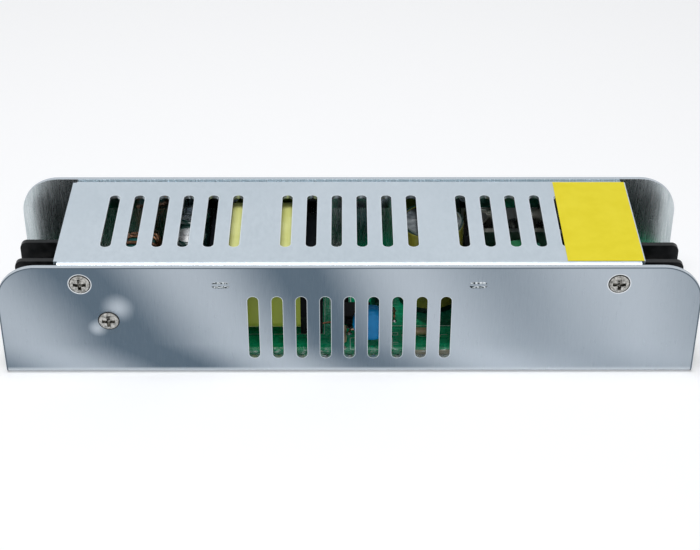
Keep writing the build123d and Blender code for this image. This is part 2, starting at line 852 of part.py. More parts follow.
# Transformer: the axis of its winding runs along X
def make_transformer():
    place = Pos(transformer_x, transformer_y, transformer_middle)
    window = (core_width - 2 * core_leg - core_post) / 2
    window_length = core_length - 2 * core_yoke
    core_y = (-core_width / 2, core_width / 2)
    core_z = (-core_thickness / 2, core_thickness / 2)
    half = block((0, core_length / 2), core_y, core_z)
    for side in (-1, 1):
        y = (side * core_post / 2, side * (core_post / 2 + window))
        half -= block((-1, window_length / 2), y, (-core_thickness, core_thickness))
    core = [place * half, place * mirror(half, Plane.YZ)]

    tube_y = core_post / 2 + bobbin_gap + bobbin_wall
    tube_z = core_thickness / 2 + bobbin_gap + bobbin_wall
    flange_y = core_post / 2 + window - winding_side_gap
    flange_z = winding_height / 2
    drop = transformer_middle - board_top
    coil_length = window_length - 2 * bobbin_wall
    rail_y = bobbin_pins_per_rail * bobbin_pin_pitch / 2 + bobbin_rail_margin
    bobbin = block((-window_length / 2, window_length / 2), (-tube_y, tube_y), (-tube_z, tube_z))
    for side in (-1, 1):
        flange_x = (side * window_length / 2, side * coil_length / 2)
        bobbin += block(flange_x, (-flange_y, flange_y), (-flange_z, flange_z))
        rail_x = (side * coil_length / 2, side * core_length / 2)
        bobbin += block(rail_x, (-rail_y, rail_y), (-drop, -core_thickness / 2))
    bore_y = core_post / 2 + bobbin_gap
    bore_z = core_thickness / 2 + bobbin_gap
    bobbin -= block((-window_length, window_length), (-bore_y, bore_y), (-core_thickness / 2, bore_z))
    bobbin = place * bobbin

    pins = []
    for side in (-1, 1):
        x = transformer_x + side * (core_length / 2 - core_yoke / 2)
        for number in range(bobbin_pins_per_rail):
            y = transformer_y + (number - (bobbin_pins_per_rail - 1) / 2) * bobbin_pin_pitch
            pins.append(square_lead(x, y, board_top + bobbin_pin_grip, bobbin_pin, bobbin_pin))
    bobbin -= pins

    coil = RectangleRounded(2 * flange_y, winding_height, winding_corner)
    coil -= Rectangle(2 * tube_y, 2 * tube_z)
    winding = place * extrude(Plane.YZ * coil, coil_length / 2, both=True)

    inside = RectangleRounded(core_width, winding_height, band_corner)
    wrap = offset(inside, band_thickness) - inside
    band = place * extrude(Plane.YZ * wrap, coil_length / 2, both=True)
    return core, bobbin, pins, winding, band


# Disc parts: a coated disc that stands on two wires
def make_disc(x, y, radius, thickness, along_x):
    low = board_top + disc_lift
    disc = Cylinder(radius, thickness)
    disc = fillet(disc.edges().filter_by(GeomType.CIRCLE), thickness * disc_round_share)
    turn = Rot(90, 0, 0) if along_x else Rot(0, 90, 0)
    disc = Pos(x, y, low + radius) * turn * disc
    half = disc_lead_pitch / 2
    places = [(x - half, y), (x + half, y)] if along_x else [(x, y - half), (x, y + half)]
    for wire in wire_leads(places, low + radius):
        disc += wire
    return disc


# Chips: a moulded body with a row of bent leads on each long side
def make_chip(x, y, length, leads_per_side):
    low = board_top + chip_lift
    half_length_x = length / 2
    half_width_y = chip_width / 2
    body_y = (y - half_width_y, y + half_width_y)
    body = block((x - half_length_x, x + half_length_x), body_y, (low, low + chip_height))
    body = chamfer(body.edges().group_by(Axis.Z)[-1], chip_chamfer)
    shoulder_low = low + chip_shoulder_height
    shoulder_top = shoulder_low + chip_lead_thickness
    for side in (-1, 1):
        row = y + side * (half_width_y + chip_lead_spread)
        start = y + side * (half_width_y - chip_lead_sink)
        shoulder_y = (start, row + side * chip_lead_thickness / 2)
        for number in range(leads_per_side):
            lead_x = x + (number - (leads_per_side - 1) / 2) * chip_lead_pitch
            shoulder_x = (lead_x - chip_shoulder_width / 2, lead_x + chip_shoulder_width / 2)
            body += block(shoulder_x, shoulder_y, (shoulder_low, shoulder_top))
            body += square_lead(lead_x, row, shoulder_top, chip_lead_width, chip_lead_thickness)
    return body


# Box capacitors: a moulded box on two wires
def make_box_capacitor(x, y, size, lead_pitch, along_y):
    half_x = size[0] / 2
    half_y = size[1] / 2
    body = block((x - half_x, x + half_x), (y - half_y, y + half_y), (board_top, board_top + size[2]))
    body = fillet(body.edges().filter_by(Axis.Z) + body.edges().group_by(Axis.Z)[-1], box_round)
    half = lead_pitch / 2
    places = [(x, y - half), (x, y + half)] if along_y else [(x - half, y), (x + half, y)]
    for wire in wire_leads(places, board_top + lead_sink):
        body += wire
    return body


# Bridge rectifier: a flat moulded body that stands on four leads
def make_bridge():
    low = board_top + bridge_lift
    x = (bridge_x - bridge_depth / 2, bridge_x + bridge_depth / 2)
    y = (bridge_y - bridge_width / 2, bridge_y + bridge_width / 2)
    body = block(x, y, (low, low + bridge_height))
    corner = body.edges().filter_by(Axis.X).group_by(Axis.Z)[-1].sort_by(Axis.Y)[0]
    body = chamfer(corner, bridge_chamfer)
    hole = Rot(0, 90, 0) * Cylinder(bridge_hole, 2 * bridge_depth)
    body -= Pos(bridge_x, bridge_y, low + bridge_height - bridge_hole_drop) * hole
    for number in range(bridge_leads):
        lead_y = bridge_y + (number - (bridge_leads - 1) / 2) * bridge_lead_pitch
        body += square_lead(bridge_x, lead_y, low + lead_sink, bridge_lead_along, bridge_lead_across)
    return body


# Fuse: a glass tube with two end caps on leads
def make_fuse():
    x = inlet_x + fuse_place[0]
    y = fuse_place[1]
    cap_radius = fuse_radius + fuse_cap_wall
    axis_z = board_top + cap_radius + fuse_lift
    place = Pos(x, y, axis_z) * Rot(90, 0, 0)
    tube = place * (Cylinder(fuse_radius, fuse_length) - Cylinder(fuse_radius - fuse_wall, 2 * fuse_length))
    half_wire = wire_lead / 2
    cap_end = fuse_length / 2 + fuse_cap_wall
    lead_reach = fuse_length / 2 + fuse_lead_reach
    caps = []
    for side in (-1, 1):
        cap = Pos(x, y + side * (cap_end - fuse_cap_length / 2), axis_z) * Rot(90, 0, 0)
        cap = cap * Cylinder(cap_radius, fuse_cap_length) - place * Cylinder(fuse_radius, fuse_length)
        lead_y = y + side * lead_reach
        arm_y = (y + side * (cap_end - fuse_cap_wall / 2), lead_y)
        cap += block((x - half_wire, x + half_wire), arm_y, (axis_z - half_wire, axis_z + half_wire))
        cap += square_lead(x, lead_y, axis_z + half_wire, wire_lead, wire_lead)
        caps.append(cap)
    return tube, caps


def make_resistor(x, y, along_x):
    """An axial resistor that lies on the board on two bent wires."""
    end = resistor_length / 2
    profile = [
        (0, end),
        (resistor_end, end),
        (resistor_radius, end - resistor_end_round),
        (resistor_radius, end - resistor_bead),
        (resistor_waist, end - resistor_bead - resistor_end_round),
    ]
    body = turned(profile + [(radius, -height) for radius, height in reversed(profile)])
    half = wire_lead / 2
    reach = end + resistor_lead_reach
    for side in (-1, 1):
        arm_z = (side * (end - resistor_lead_sink), side * reach)
        body += block((-half, half), (-half, half), arm_z)
    axis_z = can_seat + resistor_radius
    body = Pos(x, y, axis_z) * (Rot(0, 90, 0) if along_x else Rot(90, 0, 0)) * body
    for side in (-1, 1):
        step = side * (reach - half)
        foot = (x + step, y) if along_x else (x, y + step)
        body += square_lead(*foot, axis_z, wire_lead, wire_lead)
    return body


def make_resistors():
    near = resistor_edge_gap - board_half_width
    output_y = output_cap_y - output_cap_count * output_cap_pitch / 2 - output_resistor_gap
    return [
        make_resistor(control_x + control_resistor_place[0], near + control_resistor_place[1], False),
        make_resistor(bulk_cap_x + bulk_resistor_place[0], near + bulk_resistor_place[1], True),
        make_resistor(bulk_cap_x + upright_resistor_place[0], near + upright_resistor_place[1], False),
        make_resistor(choke_x + choke_resistor_place[0], near + choke_resistor_place[1], True),
        make_resistor(output_cap_x + output_resistor_x, output_y, True),
    ]


def build_all():
    """Every piece, by the name of its node."""
    nodes = {}
    nodes["base_channel"] = make_channel()
    nodes["top_cover"] = make_cover()
    nodes["top_sticker"] = make_sticker()
    nodes["cover_screws"] = make_cover_screws()
    nodes["device_screws"] = make_device_screws()
    nodes["insulation_sheet"] = make_film()
    nodes["board_standoffs"] = make_standoffs()
    nodes["board_screws"] = make_board_screws()

    output = make_terminal(output_pitch, output_poles, output_side_gap)
    add_terminal(nodes, "dc", output)
    placed = len(drilled)
    inlet = make_terminal(inlet_pitch, inlet_poles, inlet_side_gap)
    drilled[placed:] = [(-x, y, radius) for x, y, radius in drilled[placed:]]
    add_terminal(nodes, "ac", [mirrored(piece) for piece in inlet])

    walls = [("rectifier", -1, rectifier_screw_x), ("transistor", 1, transistor_screw_x)]
    for name, side, screw_x in walls:
        frames, bodies, pad, clamp = make_devices(side, screw_x)
        nodes[name + "_frames"] = frames
        nodes[name + "_bodies"] = bodies
        nodes[name + "_pad"] = pad
        nodes[name + "_clamp"] = clamp

    nodes["output_inductor_core"], nodes["output_inductor_winding"] = make_output_inductor()
    nodes["output_capacitor_cans"], nodes["output_capacitor_sleeves"] = make_output_capacitors()
    core, bobbin, pins, winding, band = make_transformer()
    nodes["transformer_core"] = core
    nodes["transformer_bobbin"] = bobbin
    nodes["transformer_pins"] = pins
    nodes["transformer_winding"] = winding
    nodes["transformer_band"] = band

    disc_y = disc_thickness / 2 + disc_edge_gap - board_half_width
    disc_size = (disc_radius, disc_thickness)
    nodes["safety_capacitor"] = make_disc(control_x + safety_cap_x, disc_y, *disc_size, True)
    chip_x = control_x + chip_place[0]
    coupler_x = control_x + coupler_place[0]
    nodes["control_chip"] = make_chip(chip_x, chip_place[1], chip_length, chip_leads_per_side)
    nodes["optocoupler"] = make_chip(coupler_x, coupler_place[1], coupler_length, coupler_leads_per_side)
    control_size = (control_cap_radius, control_cap_height, control_cap_lead_pitch)
    small = make_can(control_x + control_cap_place[0], control_cap_place[1], *control_size)
    nodes["control_capacitor_can"], nodes["control_capacitor_sleeve"] = small
    film_size = (film_cap_length, film_cap_depth, film_cap_height)
    film_x = control_x + film_cap_place[0]
    film_box = make_box_capacitor(film_x, film_cap_place[1], film_size, film_cap_lead_pitch, False)
    nodes["film_capacitor"] = film_box
    nodes["resistors"] = make_resistors()
    bulk_size = (bulk_cap_radius, bulk_cap_height, bulk_cap_lead_pitch)
    bulk = make_can(bulk_cap_x, bulk_cap_y, *bulk_size)
    nodes["bulk_capacitor_can"], nodes["bulk_capacitor_sleeve"] = bulk
    nodes["bridge_rectifier"] = make_bridge()
    nodes["choke_core"], nodes["choke_windings"], nodes["choke_base"] = make_choke()
    line_size = (line_cap_depth, line_cap_width, line_cap_height)
    line_box = make_box_capacitor(line_cap_x, line_cap_y, line_size, line_cap_lead_pitch, True)
    nodes["line_capacitor"] = line_box
    nodes["fuse_tube"], nodes["fuse_caps"] = make_fuse()
    thermistor_y = board_half_width - thermistor_edge_gap
    thermistor_size = (thermistor_radius, thermistor_thickness)
    nodes["thermistor"] = make_disc(inlet_x + thermistor_x, thermistor_y, *thermistor_size, False)
    nodes["circuit_board"] = make_board()
    return nodes


def mirrored(piece):
    """A piece, or each piece of a list, on the other end of the case."""
    if isinstance(piece, list):
        return [mirror(item, Plane.YZ) for item in piece]
    return mirror(piece, Plane.YZ)


def add_terminal(nodes, name, pieces):
    """A terminal's block and contacts, with a node for each washer and screw."""
    body, contacts, washers, screws = pieces
    nodes[name + "_terminal_block"] = body
    nodes[name + "_terminal_contacts"] = contacts
    for number, washer in enumerate(washers, 1):
        nodes[f"{name}_clamp_washer_{number}"] = washer
    for number, screw in enumerate(screws, 1):
        nodes[f"{name}_terminal_screw_{number}"] = screw


os.makedirs("parts", exist_ok=True)
for node, pieces in build_all().items():
    pieces = pieces if isinstance(pieces, list) else [pieces]
    solids = [solid for piece in pieces for solid in piece.solids()]
    shape = solids[0] if len(solids) == 1 else Compound(children=solids)
    export_step(shape, f"parts/{node}.step")
print(f"case {case_length:.2f} x {case_width:.2f} x {case_height:.2f} mm")
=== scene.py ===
import math

import bmesh
import bpy
from mathutils import Matrix, Vector


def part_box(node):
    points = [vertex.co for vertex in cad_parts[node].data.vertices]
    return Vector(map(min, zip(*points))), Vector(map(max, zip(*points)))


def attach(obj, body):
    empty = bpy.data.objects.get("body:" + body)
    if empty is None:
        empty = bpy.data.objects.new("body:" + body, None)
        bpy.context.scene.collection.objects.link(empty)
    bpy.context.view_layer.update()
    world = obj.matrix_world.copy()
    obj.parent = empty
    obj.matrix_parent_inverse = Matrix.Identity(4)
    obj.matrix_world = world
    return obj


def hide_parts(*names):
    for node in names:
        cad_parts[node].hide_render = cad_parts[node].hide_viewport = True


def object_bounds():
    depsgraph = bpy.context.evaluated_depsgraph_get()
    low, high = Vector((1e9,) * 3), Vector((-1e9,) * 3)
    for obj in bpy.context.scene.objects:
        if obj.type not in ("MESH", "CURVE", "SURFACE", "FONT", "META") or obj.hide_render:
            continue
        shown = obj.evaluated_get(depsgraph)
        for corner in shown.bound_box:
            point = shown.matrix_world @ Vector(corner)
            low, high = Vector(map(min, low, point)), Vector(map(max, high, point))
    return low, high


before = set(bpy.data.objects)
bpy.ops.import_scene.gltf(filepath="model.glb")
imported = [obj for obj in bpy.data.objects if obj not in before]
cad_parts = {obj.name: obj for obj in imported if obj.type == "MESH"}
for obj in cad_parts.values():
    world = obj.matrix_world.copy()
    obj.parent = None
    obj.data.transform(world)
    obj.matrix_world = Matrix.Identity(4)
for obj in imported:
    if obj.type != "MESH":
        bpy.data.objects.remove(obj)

cad_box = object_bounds()


# Folded channel
# The floor and both sides of the case: one sheet of 1.2 mm aluminium, punched, lanced and folded.
# Its sides carry a fine upright mill grain and slanted, softly darker bands of painted reflection.
# Painted highlights lie beside the screws that pull on the sheet and along the lower bend, and inside it is
# still smooth.

def node(tree, kind, inputs=None, **settings):
    """Adds a shader node. Each input is a value, or the output of another node."""
    made = tree.nodes.new("ShaderNode" + kind)
    for name, value in settings.items():
        setattr(made, name, value)
    for name, value in (inputs or {}).items():
        if isinstance(value, bpy.types.NodeSocket):
            tree.links.new(value, made.inputs[name])
        else:
            made.inputs[name].default_value = value
    return made


def worked(tree, operation, first, second=0.0, third=0.0):
    """The result of one sum."""
    return node(tree, "Math", {0: first, 1: second, 2: third}, operation=operation).outputs[0]


def mixed(tree, factor, first, second):
    """A colour between two others."""
    return node(tree, "Mix", {0: factor, 6: first, 7: second}, data_type="RGBA").outputs[2]


def ranged(tree, value, low, high, to_low=0.0, to_high=1.0):
    """A value brought from one range to another, and kept inside it."""
    stretch = {"Value": value, "From Min": low, "From Max": high, "To Min": to_low, "To Max": to_high}
    return node(tree, "MapRange", stretch).outputs[0]


def noise(tree, place, scale, detail=2.0):
    """Soft random values around 0.5. The scale is one number, or one for each axis."""
    if isinstance(scale, tuple):
        place = node(tree, "VectorMath", {0: place, 1: scale}, operation="MULTIPLY").outputs[0]
        scale = 1.0
    return node(tree, "TexNoise", {"Vector": place, "Scale": scale, "Detail": detail}).outputs[0]


def distance(tree, first, second):
    """The length of two sides of a right angle taken together."""
    corner = node(tree, "CombineXYZ", {0: first, 1: second}).outputs[0]
    return node(tree, "VectorMath", {0: corner}, operation="LENGTH").outputs["Value"]


def new_effect(name, inputs, outputs):
    """Starts a node group: its sockets are given as name: (kind, value)."""
    group = bpy.data.node_groups.new(name, "ShaderNodeTree")
    for label, (kind, value) in inputs.items():
        socket = group.interface.new_socket(name=label, in_out="INPUT", socket_type="NodeSocket" + kind)
        socket.default_value = value
    for label, kind in outputs.items():
        group.interface.new_socket(name=label, in_out="OUTPUT", socket_type="NodeSocket" + kind)
    return group, group.nodes.new("NodeGroupInput").outputs, group.nodes.new("NodeGroupOutput").inputs


def new_material(name, **shader):
    """An empty material, its nodes and its surface shader, with the shader's plain values set."""
    material = bpy.data.materials.new(name)
    material.use_nodes = True
    surface = material.node_tree.nodes["Principled BSDF"]
    for socket, value in shader.items():
        surface.inputs[socket.replace("_", " ")].default_value = value
    return material, material.node_tree, surface


def dress(material, *names):
    """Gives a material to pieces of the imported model."""
    for name in names:
        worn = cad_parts[name].data.materials
        worn.clear()
        worn.append(material)


def slot_effect():
    """A mask for a painted highlight on the rim round an obround slot: 1 at its edge, 0 past its reach."""
    group, given, out = new_effect(
        "slot_highlight_mask",
        {
            "Across": ("Float", 0.0),
            "Along": ("Float", 0.0),
            "Half Length": ("Float", 0.010),
            "Half Width": ("Float", 0.0015),
            "Reach": ("Float", 0.0004),
        },
        {"Mask": "Float"},
    )
    straight = worked(group, "SUBTRACT", given["Half Length"], given["Half Width"])
    beyond = worked(group, "SUBTRACT", worked(group, "ABSOLUTE", given["Along"]), straight)
    from_line = distance(group, given["Across"], worked(group, "MAXIMUM", beyond, 0.0))
    gap = worked(group, "SUBTRACT", from_line, given["Half Width"])
    group.links.new(ranged(group, gap, given["Reach"], 0.0), out["Mask"])
    return group


def spot_effect():
    """A soft spot: 1 at its centre and 0 at its size."""
    group, given, out = new_effect(
        "soft_spot",
        {"Centre": ("Vector", (0, 0, 0)), "Size": ("Vector", (0.005, 0.005, 0.005))},
        {"Mask": "Float"},
    )
    place = node(group, "TexCoord").outputs["Object"]
    away = node(group, "VectorMath", {0: place, 1: given["Centre"]}, operation="SUBTRACT").outputs[0]
    scaled = node(group, "VectorMath", {0: away, 1: given["Size"]}, operation="DIVIDE").outputs[0]
    far = node(group, "VectorMath", {0: scaled}, operation="LENGTH").outputs["Value"]
    soft = node(
        group, "MapRange", {"Value": far, "From Min": 1.0, "From Max": 0.0}, interpolation_type="SMOOTHSTEP",
    )
    group.links.new(soft.outputs[0], out["Mask"])
    return group


slot_highlight_mask = slot_effect()
soft_spot = spot_effect()
head_radius = 0.0029
low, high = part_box("device_screws")
device_screw_high = high.z - head_radius
device_screw_axes = [(low.x + head_radius, low.y), (high.x - head_radius, high.y)]


def channel_material():
    """Milled outside, with painted reflection in slanted bands and painted highlights beside the screws, and
    smooth inside.
    """
    material, tree, surface = new_material("channel_aluminium", Metallic=1.0)
    place = node(tree, "TexCoord").outputs["Object"]
    x, y, z = node(tree, "SeparateXYZ", {0: place}).outputs
    grain = noise(tree, place, (4600, 4600, 240), 3.0)

    # Painted reflection: slanted darker bands, deepest near the output end and bent forward at the foot, and
    # both ends painted darker
    band_spacing, band_place = 0.059, 3.50
    waver = noise(tree, place, 16.0, 1.0)
    slant = worked(tree, "MULTIPLY_ADD", waver, 0.012, worked(tree, "MULTIPLY_ADD", z, 0.6, x))
    slant = worked(tree, "SUBTRACT", slant, ranged(tree, z, 0.0100, 0.0010, 0.0, 0.0100))
    wave = worked(tree, "SINE", worked(tree, "MULTIPLY_ADD", slant, 2 * math.pi / band_spacing, band_place))
    depth = ranged(tree, x, -0.010, 0.060, 0.54, 0.17)
    painted_light_and_grain = worked(tree, "MULTIPLY_ADD", worked(tree, "SUBTRACT", wave, 1.0), depth, 1.0)
    painted_light_and_grain = worked(tree, "MULTIPLY", painted_light_and_grain, ranged(tree, x, -0.070, 0.050, 0.88, 1.0))
    painted_light_and_grain = worked(tree, "MULTIPLY", painted_light_and_grain, ranged(tree, x, 0.078, 0.092, 1.0, 0.80))

    # Painted highlights beside the device screws, where the dished sheet catches the light, and a painted
    # highlight strip along the lower bend
    for axis_x, face_y in device_screw_axes:
        turn = 1 if face_y < 0 else -1
        for aside, above, size in ((0.0029, 0.0046, 0.0056), (-0.0032, -0.0021, 0.0036)):
            centre = (axis_x + turn * aside, face_y, device_screw_high + above)
            spot = node(tree, "Group", {"Centre": centre, "Size": (size, 0.004, size)}, node_tree=soft_spot)
            painted_light_and_grain = worked(tree, "MAXIMUM", painted_light_and_grain, worked(tree, "MULTIPLY", spot.outputs[0], 0.95))
    painted_light_and_grain = worked(tree, "MULTIPLY_ADD", worked(tree, "SUBTRACT", grain, 0.5), 0.20, painted_light_and_grain)
    # Painted reflection: where the bands fall, the colour goes towards the dark one
    outside = mixed(tree, painted_light_and_grain, (0.105, 0.145, 0.185, 1), (0.44, 0.49, 0.54, 1))
    # Painted highlight: the lower bend is painted lighter
    outside = mixed(tree, ranged(tree, z, 0.0022, 0.0012), outside, (0.58, 0.63, 0.67, 1))

    # Inside, the sheet has kept its smooth rolled face, with faint upright streaks
    streaks = ranged(tree, noise(tree, place, (2600, 2600, 130), 3.0), 0.35, 0.65)
    inside = mixed(tree, streaks, (0.52, 0.58, 0.60, 1), (0.68, 0.73, 0.75, 1))
    inner_face, floor_face = 0.02215, 0.0007
    between = worked(tree, "LESS_THAN", worked(tree, "ABSOLUTE", y), inner_face)
    indoors = worked(tree, "MULTIPLY", between, worked(tree, "GREATER_THAN", z, floor_face))
    colour = mixed(tree, indoors, outside, inside)

    # Painted shade and highlight at the outline of the sides: a dark line just inside it, and a pale cut face
    # at the edge
    corner, side_high = 0.011, 0.035
    past_x = worked(tree, "SUBTRACT", worked(tree, "ABSOLUTE", x), cad_box[1][0] - corner)
    past_z = worked(tree, "SUBTRACT", z, side_high - corner)
    rounded = distance(tree, worked(tree, "MAXIMUM", past_x, 0.0), worked(tree, "MAXIMUM", past_z, 0.0))
    inset = worked(tree, "SUBTRACT", corner, rounded)
    drawn = worked(tree, "SUBTRACT", ranged(tree, inset, 0.00050, 0.00028), indoors)
    # Painted shade: a dark line inside the outline, on the outside faces only
    colour = mixed(tree, drawn, colour, (0.10, 0.13, 0.16, 1))
    # Painted highlight on the cut face
    colour = mixed(tree, ranged(tree, inset, 0.00008, 0.00002), colour, (0.46, 0.51, 0.56, 1))

    # Painted highlights on the rims round the slots of the near side
    half_pitch, slots_middle = 0.00323, 0.0154
    slotted = worked(tree, "COMPARE", x, 0.0, 9 * half_pitch)
    near = worked(tree, "MULTIPLY", worked(tree, "LESS_THAN", y, -0.0215), slotted)
    across = worked(tree, "WRAP", x, half_pitch, -half_pitch)
    along = worked(tree, "SUBTRACT", z, slots_middle)
    sizes = {"Across": across, "Along": along, "Half Length": 0.0102, "Half Width": 0.0015, "Reach": 0.0002}
    rim = worked(tree, "MULTIPLY", near, node(tree, "Group", sizes, node_tree=slot_highlight_mask).outputs[0])
    # Painted highlight on the slot rims
    colour = mixed(tree, rim, colour, (0.70, 0.75, 0.78, 1))

    # Painted shade in the lanced marks with painted glints broken up by noise, and a painted highlight round
    # the countersunk holes
    lance_x, lance_z, half_lance, half_high = 0.0342, 0.0293, 0.0026, 0.0011
    hole_x, hole_z, sunk_face = 0.0715, 0.0297, 0.0229
    aside = worked(tree, "ABSOLUTE", x)
    sunk = worked(tree, "LESS_THAN", worked(tree, "ABSOLUTE", y), sunk_face)
    lanced = worked(tree, "MULTIPLY", worked(tree, "COMPARE", aside, lance_x, half_lance), sunk)
    lanced = worked(tree, "MULTIPLY", lanced, worked(tree, "COMPARE", z, lance_z, half_high))
    lanced = worked(tree, "SUBTRACT", lanced, indoors)
    glint_breakup = ranged(tree, noise(tree, place, (1500, 1500, 3000), 3.0), 0.42, 0.50)
    # Painted shade over each lanced mark
    colour = mixed(tree, lanced, colour, (0.06, 0.08, 0.09, 1))
    lanced = worked(tree, "MULTIPLY", lanced, glint_breakup)
    hole = distance(tree, worked(tree, "SUBTRACT", aside, hole_x), worked(tree, "SUBTRACT", z, hole_z))
    # Painted glints in the lances and a painted highlight ring round the holes
    painted_glints = worked(tree, "MAXIMUM", lanced, ranged(tree, hole, 0.00325, 0.00305))
    colour = mixed(tree, painted_glints, colour, (0.78, 0.81, 0.83, 1))
    tree.links.new(colour, surface.inputs["Base Color"])

    # The grain is only outside, where it is rougher too
    milled = ranged(tree, grain, 0.3, 0.7, 0.27, 0.40)
    rolled = ranged(tree, streaks, 0.0, 1.0, 0.25, 0.28)
    gloss = node(tree, "Mix", {0: indoors, 2: milled, 3: rolled}).outputs[0]
    tree.links.new(gloss, surface.inputs["Roughness"])
    height = worked(tree, "MULTIPLY", grain, worked(tree, "SUBTRACT", 1.0, indoors))
    relief = node(tree, "Bump", {"Strength": 0.10, "Distance": 0.00004, "Height": height})
    tree.links.new(relief.outputs[0], surface.inputs["Normal"])
    return material


dress(channel_material(), "base_channel")


# Insulating sheet
# A clear polyester film between the board and the case, creased up along both sides.
# It only lies there, held by the supports that pass through it.

def mottle_effect():
    """Small uneven patches of two colours with a fine grain, as on moulded or coated parts."""
    group, given, out = new_effect(
        "mottled_skin",
        {
            "Main": ("Color", (0.5, 0.5, 0.5, 1)),
            "Other": ("Color", (0.4, 0.4, 0.4, 1)),
            "Patch": ("Float", 300.0),
            "Grain": ("Float", 6000.0),
            "Smooth": ("Float", 0.3),
            "Rough": ("Float", 0.5),
            "Depth": ("Float", 0.1),
        },
        {"Color": "Color", "Roughness": "Float", "Normal": "Vector"},
    )
    place = node(group, "TexCoord").outputs["Object"]
    share = ranged(group, noise(group, place, given["Patch"], 4.0), 0.35, 0.65)
    grain = noise(group, place, given["Grain"])
    group.links.new(mixed(group, share, given["Main"], given["Other"]), out["Color"])
    group.links.new(ranged(group, share, 0.0, 1.0, given["Smooth"], given["Rough"]), out["Roughness"])
    bump = node(group, "Bump", {"Strength": given["Depth"], "Distance": 0.00005, "Height": grain})
    group.links.new(bump.outputs[0], out["Normal"])
    return group


def finish(name, effect, values, **shader):
    """A material that takes its colour, gloss and relief from an effect with these values."""
    material, tree, surface = new_material(name, **shader)
    made = node(tree, "Group", values, node_tree=effect)
    tree.links.new(made.outputs["Color"], surface.inputs["Base Color"])
    tree.links.new(made.outputs["Roughness"], surface.inputs["Roughness"])
    tree.links.new(made.outputs["Normal"], surface.inputs["Normal"])
    return material


mottled_skin = mottle_effect()
film, tree, surface = new_material("polyester_film", Roughness=0.12)
place = node(tree, "TexCoord").outputs["Object"]
creases = noise(tree, place, (700, 700, 1500), 3.0)
tree.links.new(
    mixed(tree, creases, (0.55, 0.70, 0.64, 1), (0.86, 0.92, 0.89, 1)), surface.inputs["Base Color"],
)
tree.links.new(ranged(tree, creases, 0.56, 0.72, 0.04, 0.42), surface.inputs["Alpha"])
relief = node(tree, "Bump", {"Strength": 0.5, "Distance": 0.0001, "Height": creases})
tree.links.new(relief.outputs[0], surface.inputs["Normal"])
dress(film, "insulation_sheet")


# Board and its supports
# A fibreglass board under green solder mask, with pale printed outlines round its parts
# and a tinned ring round each hole. Pan-head screws hold it on pressed-in steel supports.

def board_material():
    """Solder mask over copper tracks: the copper shows as a slightly lighter, raised green."""
    material, tree, surface = new_material("solder_mask", Coat_Weight=0.4)
    place = node(tree, "TexCoord").outputs
    tracks = node(
        tree, "TexBrick",
        {
            "Vector": place["Object"], "Color1": (0, 0, 0, 1), "Color2": (1, 1, 1, 1), "Mortar": (1, 1, 1, 1),
            "Scale": 90.0, "Mortar Size": 0.03, "Bias": -0.4, "Brick Width": 0.9, "Row Height": 0.32,
        },
        offset=0.37,
    ).outputs[0]
    weave = noise(tree, place["Object"], 900.0, 3.0)
    copper = ranged(tree, tracks, 0.35, 0.65)
    bare = mixed(tree, weave, (0.002, 0.370, 0.165, 1), (0.004, 0.430, 0.195, 1))
    mask = mixed(tree, copper, bare, (0.008, 0.500, 0.235, 1))
    upright = node(tree, "SeparateXYZ", {0: place["Normal"]}).outputs[2]
    cut = worked(tree, "LESS_THAN", worked(tree, "ABSOLUTE", upright), 0.5)
    along, beyond = node(tree, "SeparateXYZ", {0: place["Object"]}).outputs[:2]

    # Solder mask has run over the cut edge up to here, and past it the glass fibre is bare
    bare_from = 0.0150
    fibre = mixed(tree, weave, (0.40, 0.36, 0.24, 1), (0.56, 0.51, 0.38, 1))
    fibre = mixed(tree, worked(tree, "GREATER_THAN", along, bare_from), bare, fibre)

    # Painted shadow: the mask is painted darker round the large capacitor, and it is also darker under the
    # output parts
    shadow_middle_x = 0.0265
    from_shadow_middle = distance(tree, worked(tree, "SUBTRACT", along, shadow_middle_x), beyond)
    dark = worked(tree, "MAXIMUM", ranged(tree, from_shadow_middle, 0.0100, 0.0093), ranged(tree, along, -0.050, -0.058))
    mask = mixed(tree, worked(tree, "MULTIPLY", dark, 0.8), mask, (0.003, 0.030, 0.022, 1))
    tree.links.new(mixed(tree, cut, mask, fibre), surface.inputs["Base Color"])
    tree.links.new(ranged(tree, weave, 0.3, 0.7, 0.20, 0.36), surface.inputs["Roughness"])
    relief = node(tree, "Bump", {"Strength": 0.4, "Distance": 0.00005, "Height": copper})
    tree.links.new(relief.outputs[0], surface.inputs["Normal"])
    return material


def placed(name, mesh, material):
    """Puts a bmesh into the scene as one piece on the board."""
    data = bpy.data.meshes.new(name)
    mesh.to_mesh(data)
    mesh.free()
    piece = bpy.data.objects.new(name, data)
    bpy.context.scene.collection.objects.link(piece)
    data.materials.append(material)
    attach(piece, "root")


def board_holes():
    """Each hole of the board as (x, y, radius), read from the edges of its upper face."""
    board = bmesh.new()
    board.from_mesh(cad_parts["circuit_board"].data)
    bmesh.ops.remove_doubles(board, verts=board.verts, dist=0.000001)
    top = max(corner.co.z for corner in board.verts) - 0.00001
    rim = {}
    for edge in board.edges:
        upright = [face for face in edge.link_faces if abs(face.normal.z) < 0.5]
        if len(upright) == 1 and all(corner.co.z > top for corner in edge.verts):
            for corner, other in (edge.verts, reversed(edge.verts)):
                rim.setdefault(corner, []).append(other)
    holes = []
    seen = set()
    for first in rim:
        loop, waiting = [], [first]
        while waiting:
            corner = waiting.pop()
            if corner not in seen:
                seen.add(corner)
                loop.append(corner.co.copy())
                waiting.extend(rim[corner])
        if len(loop) > 5:
            middle = sum(loop, Vector()) / len(loop)
            holes.append((middle.x, middle.y, (loop[0] - middle).length))
    board.free()
    largest_hole = 0.003
    return [hole for hole in holes if hole[2] < largest_hole]


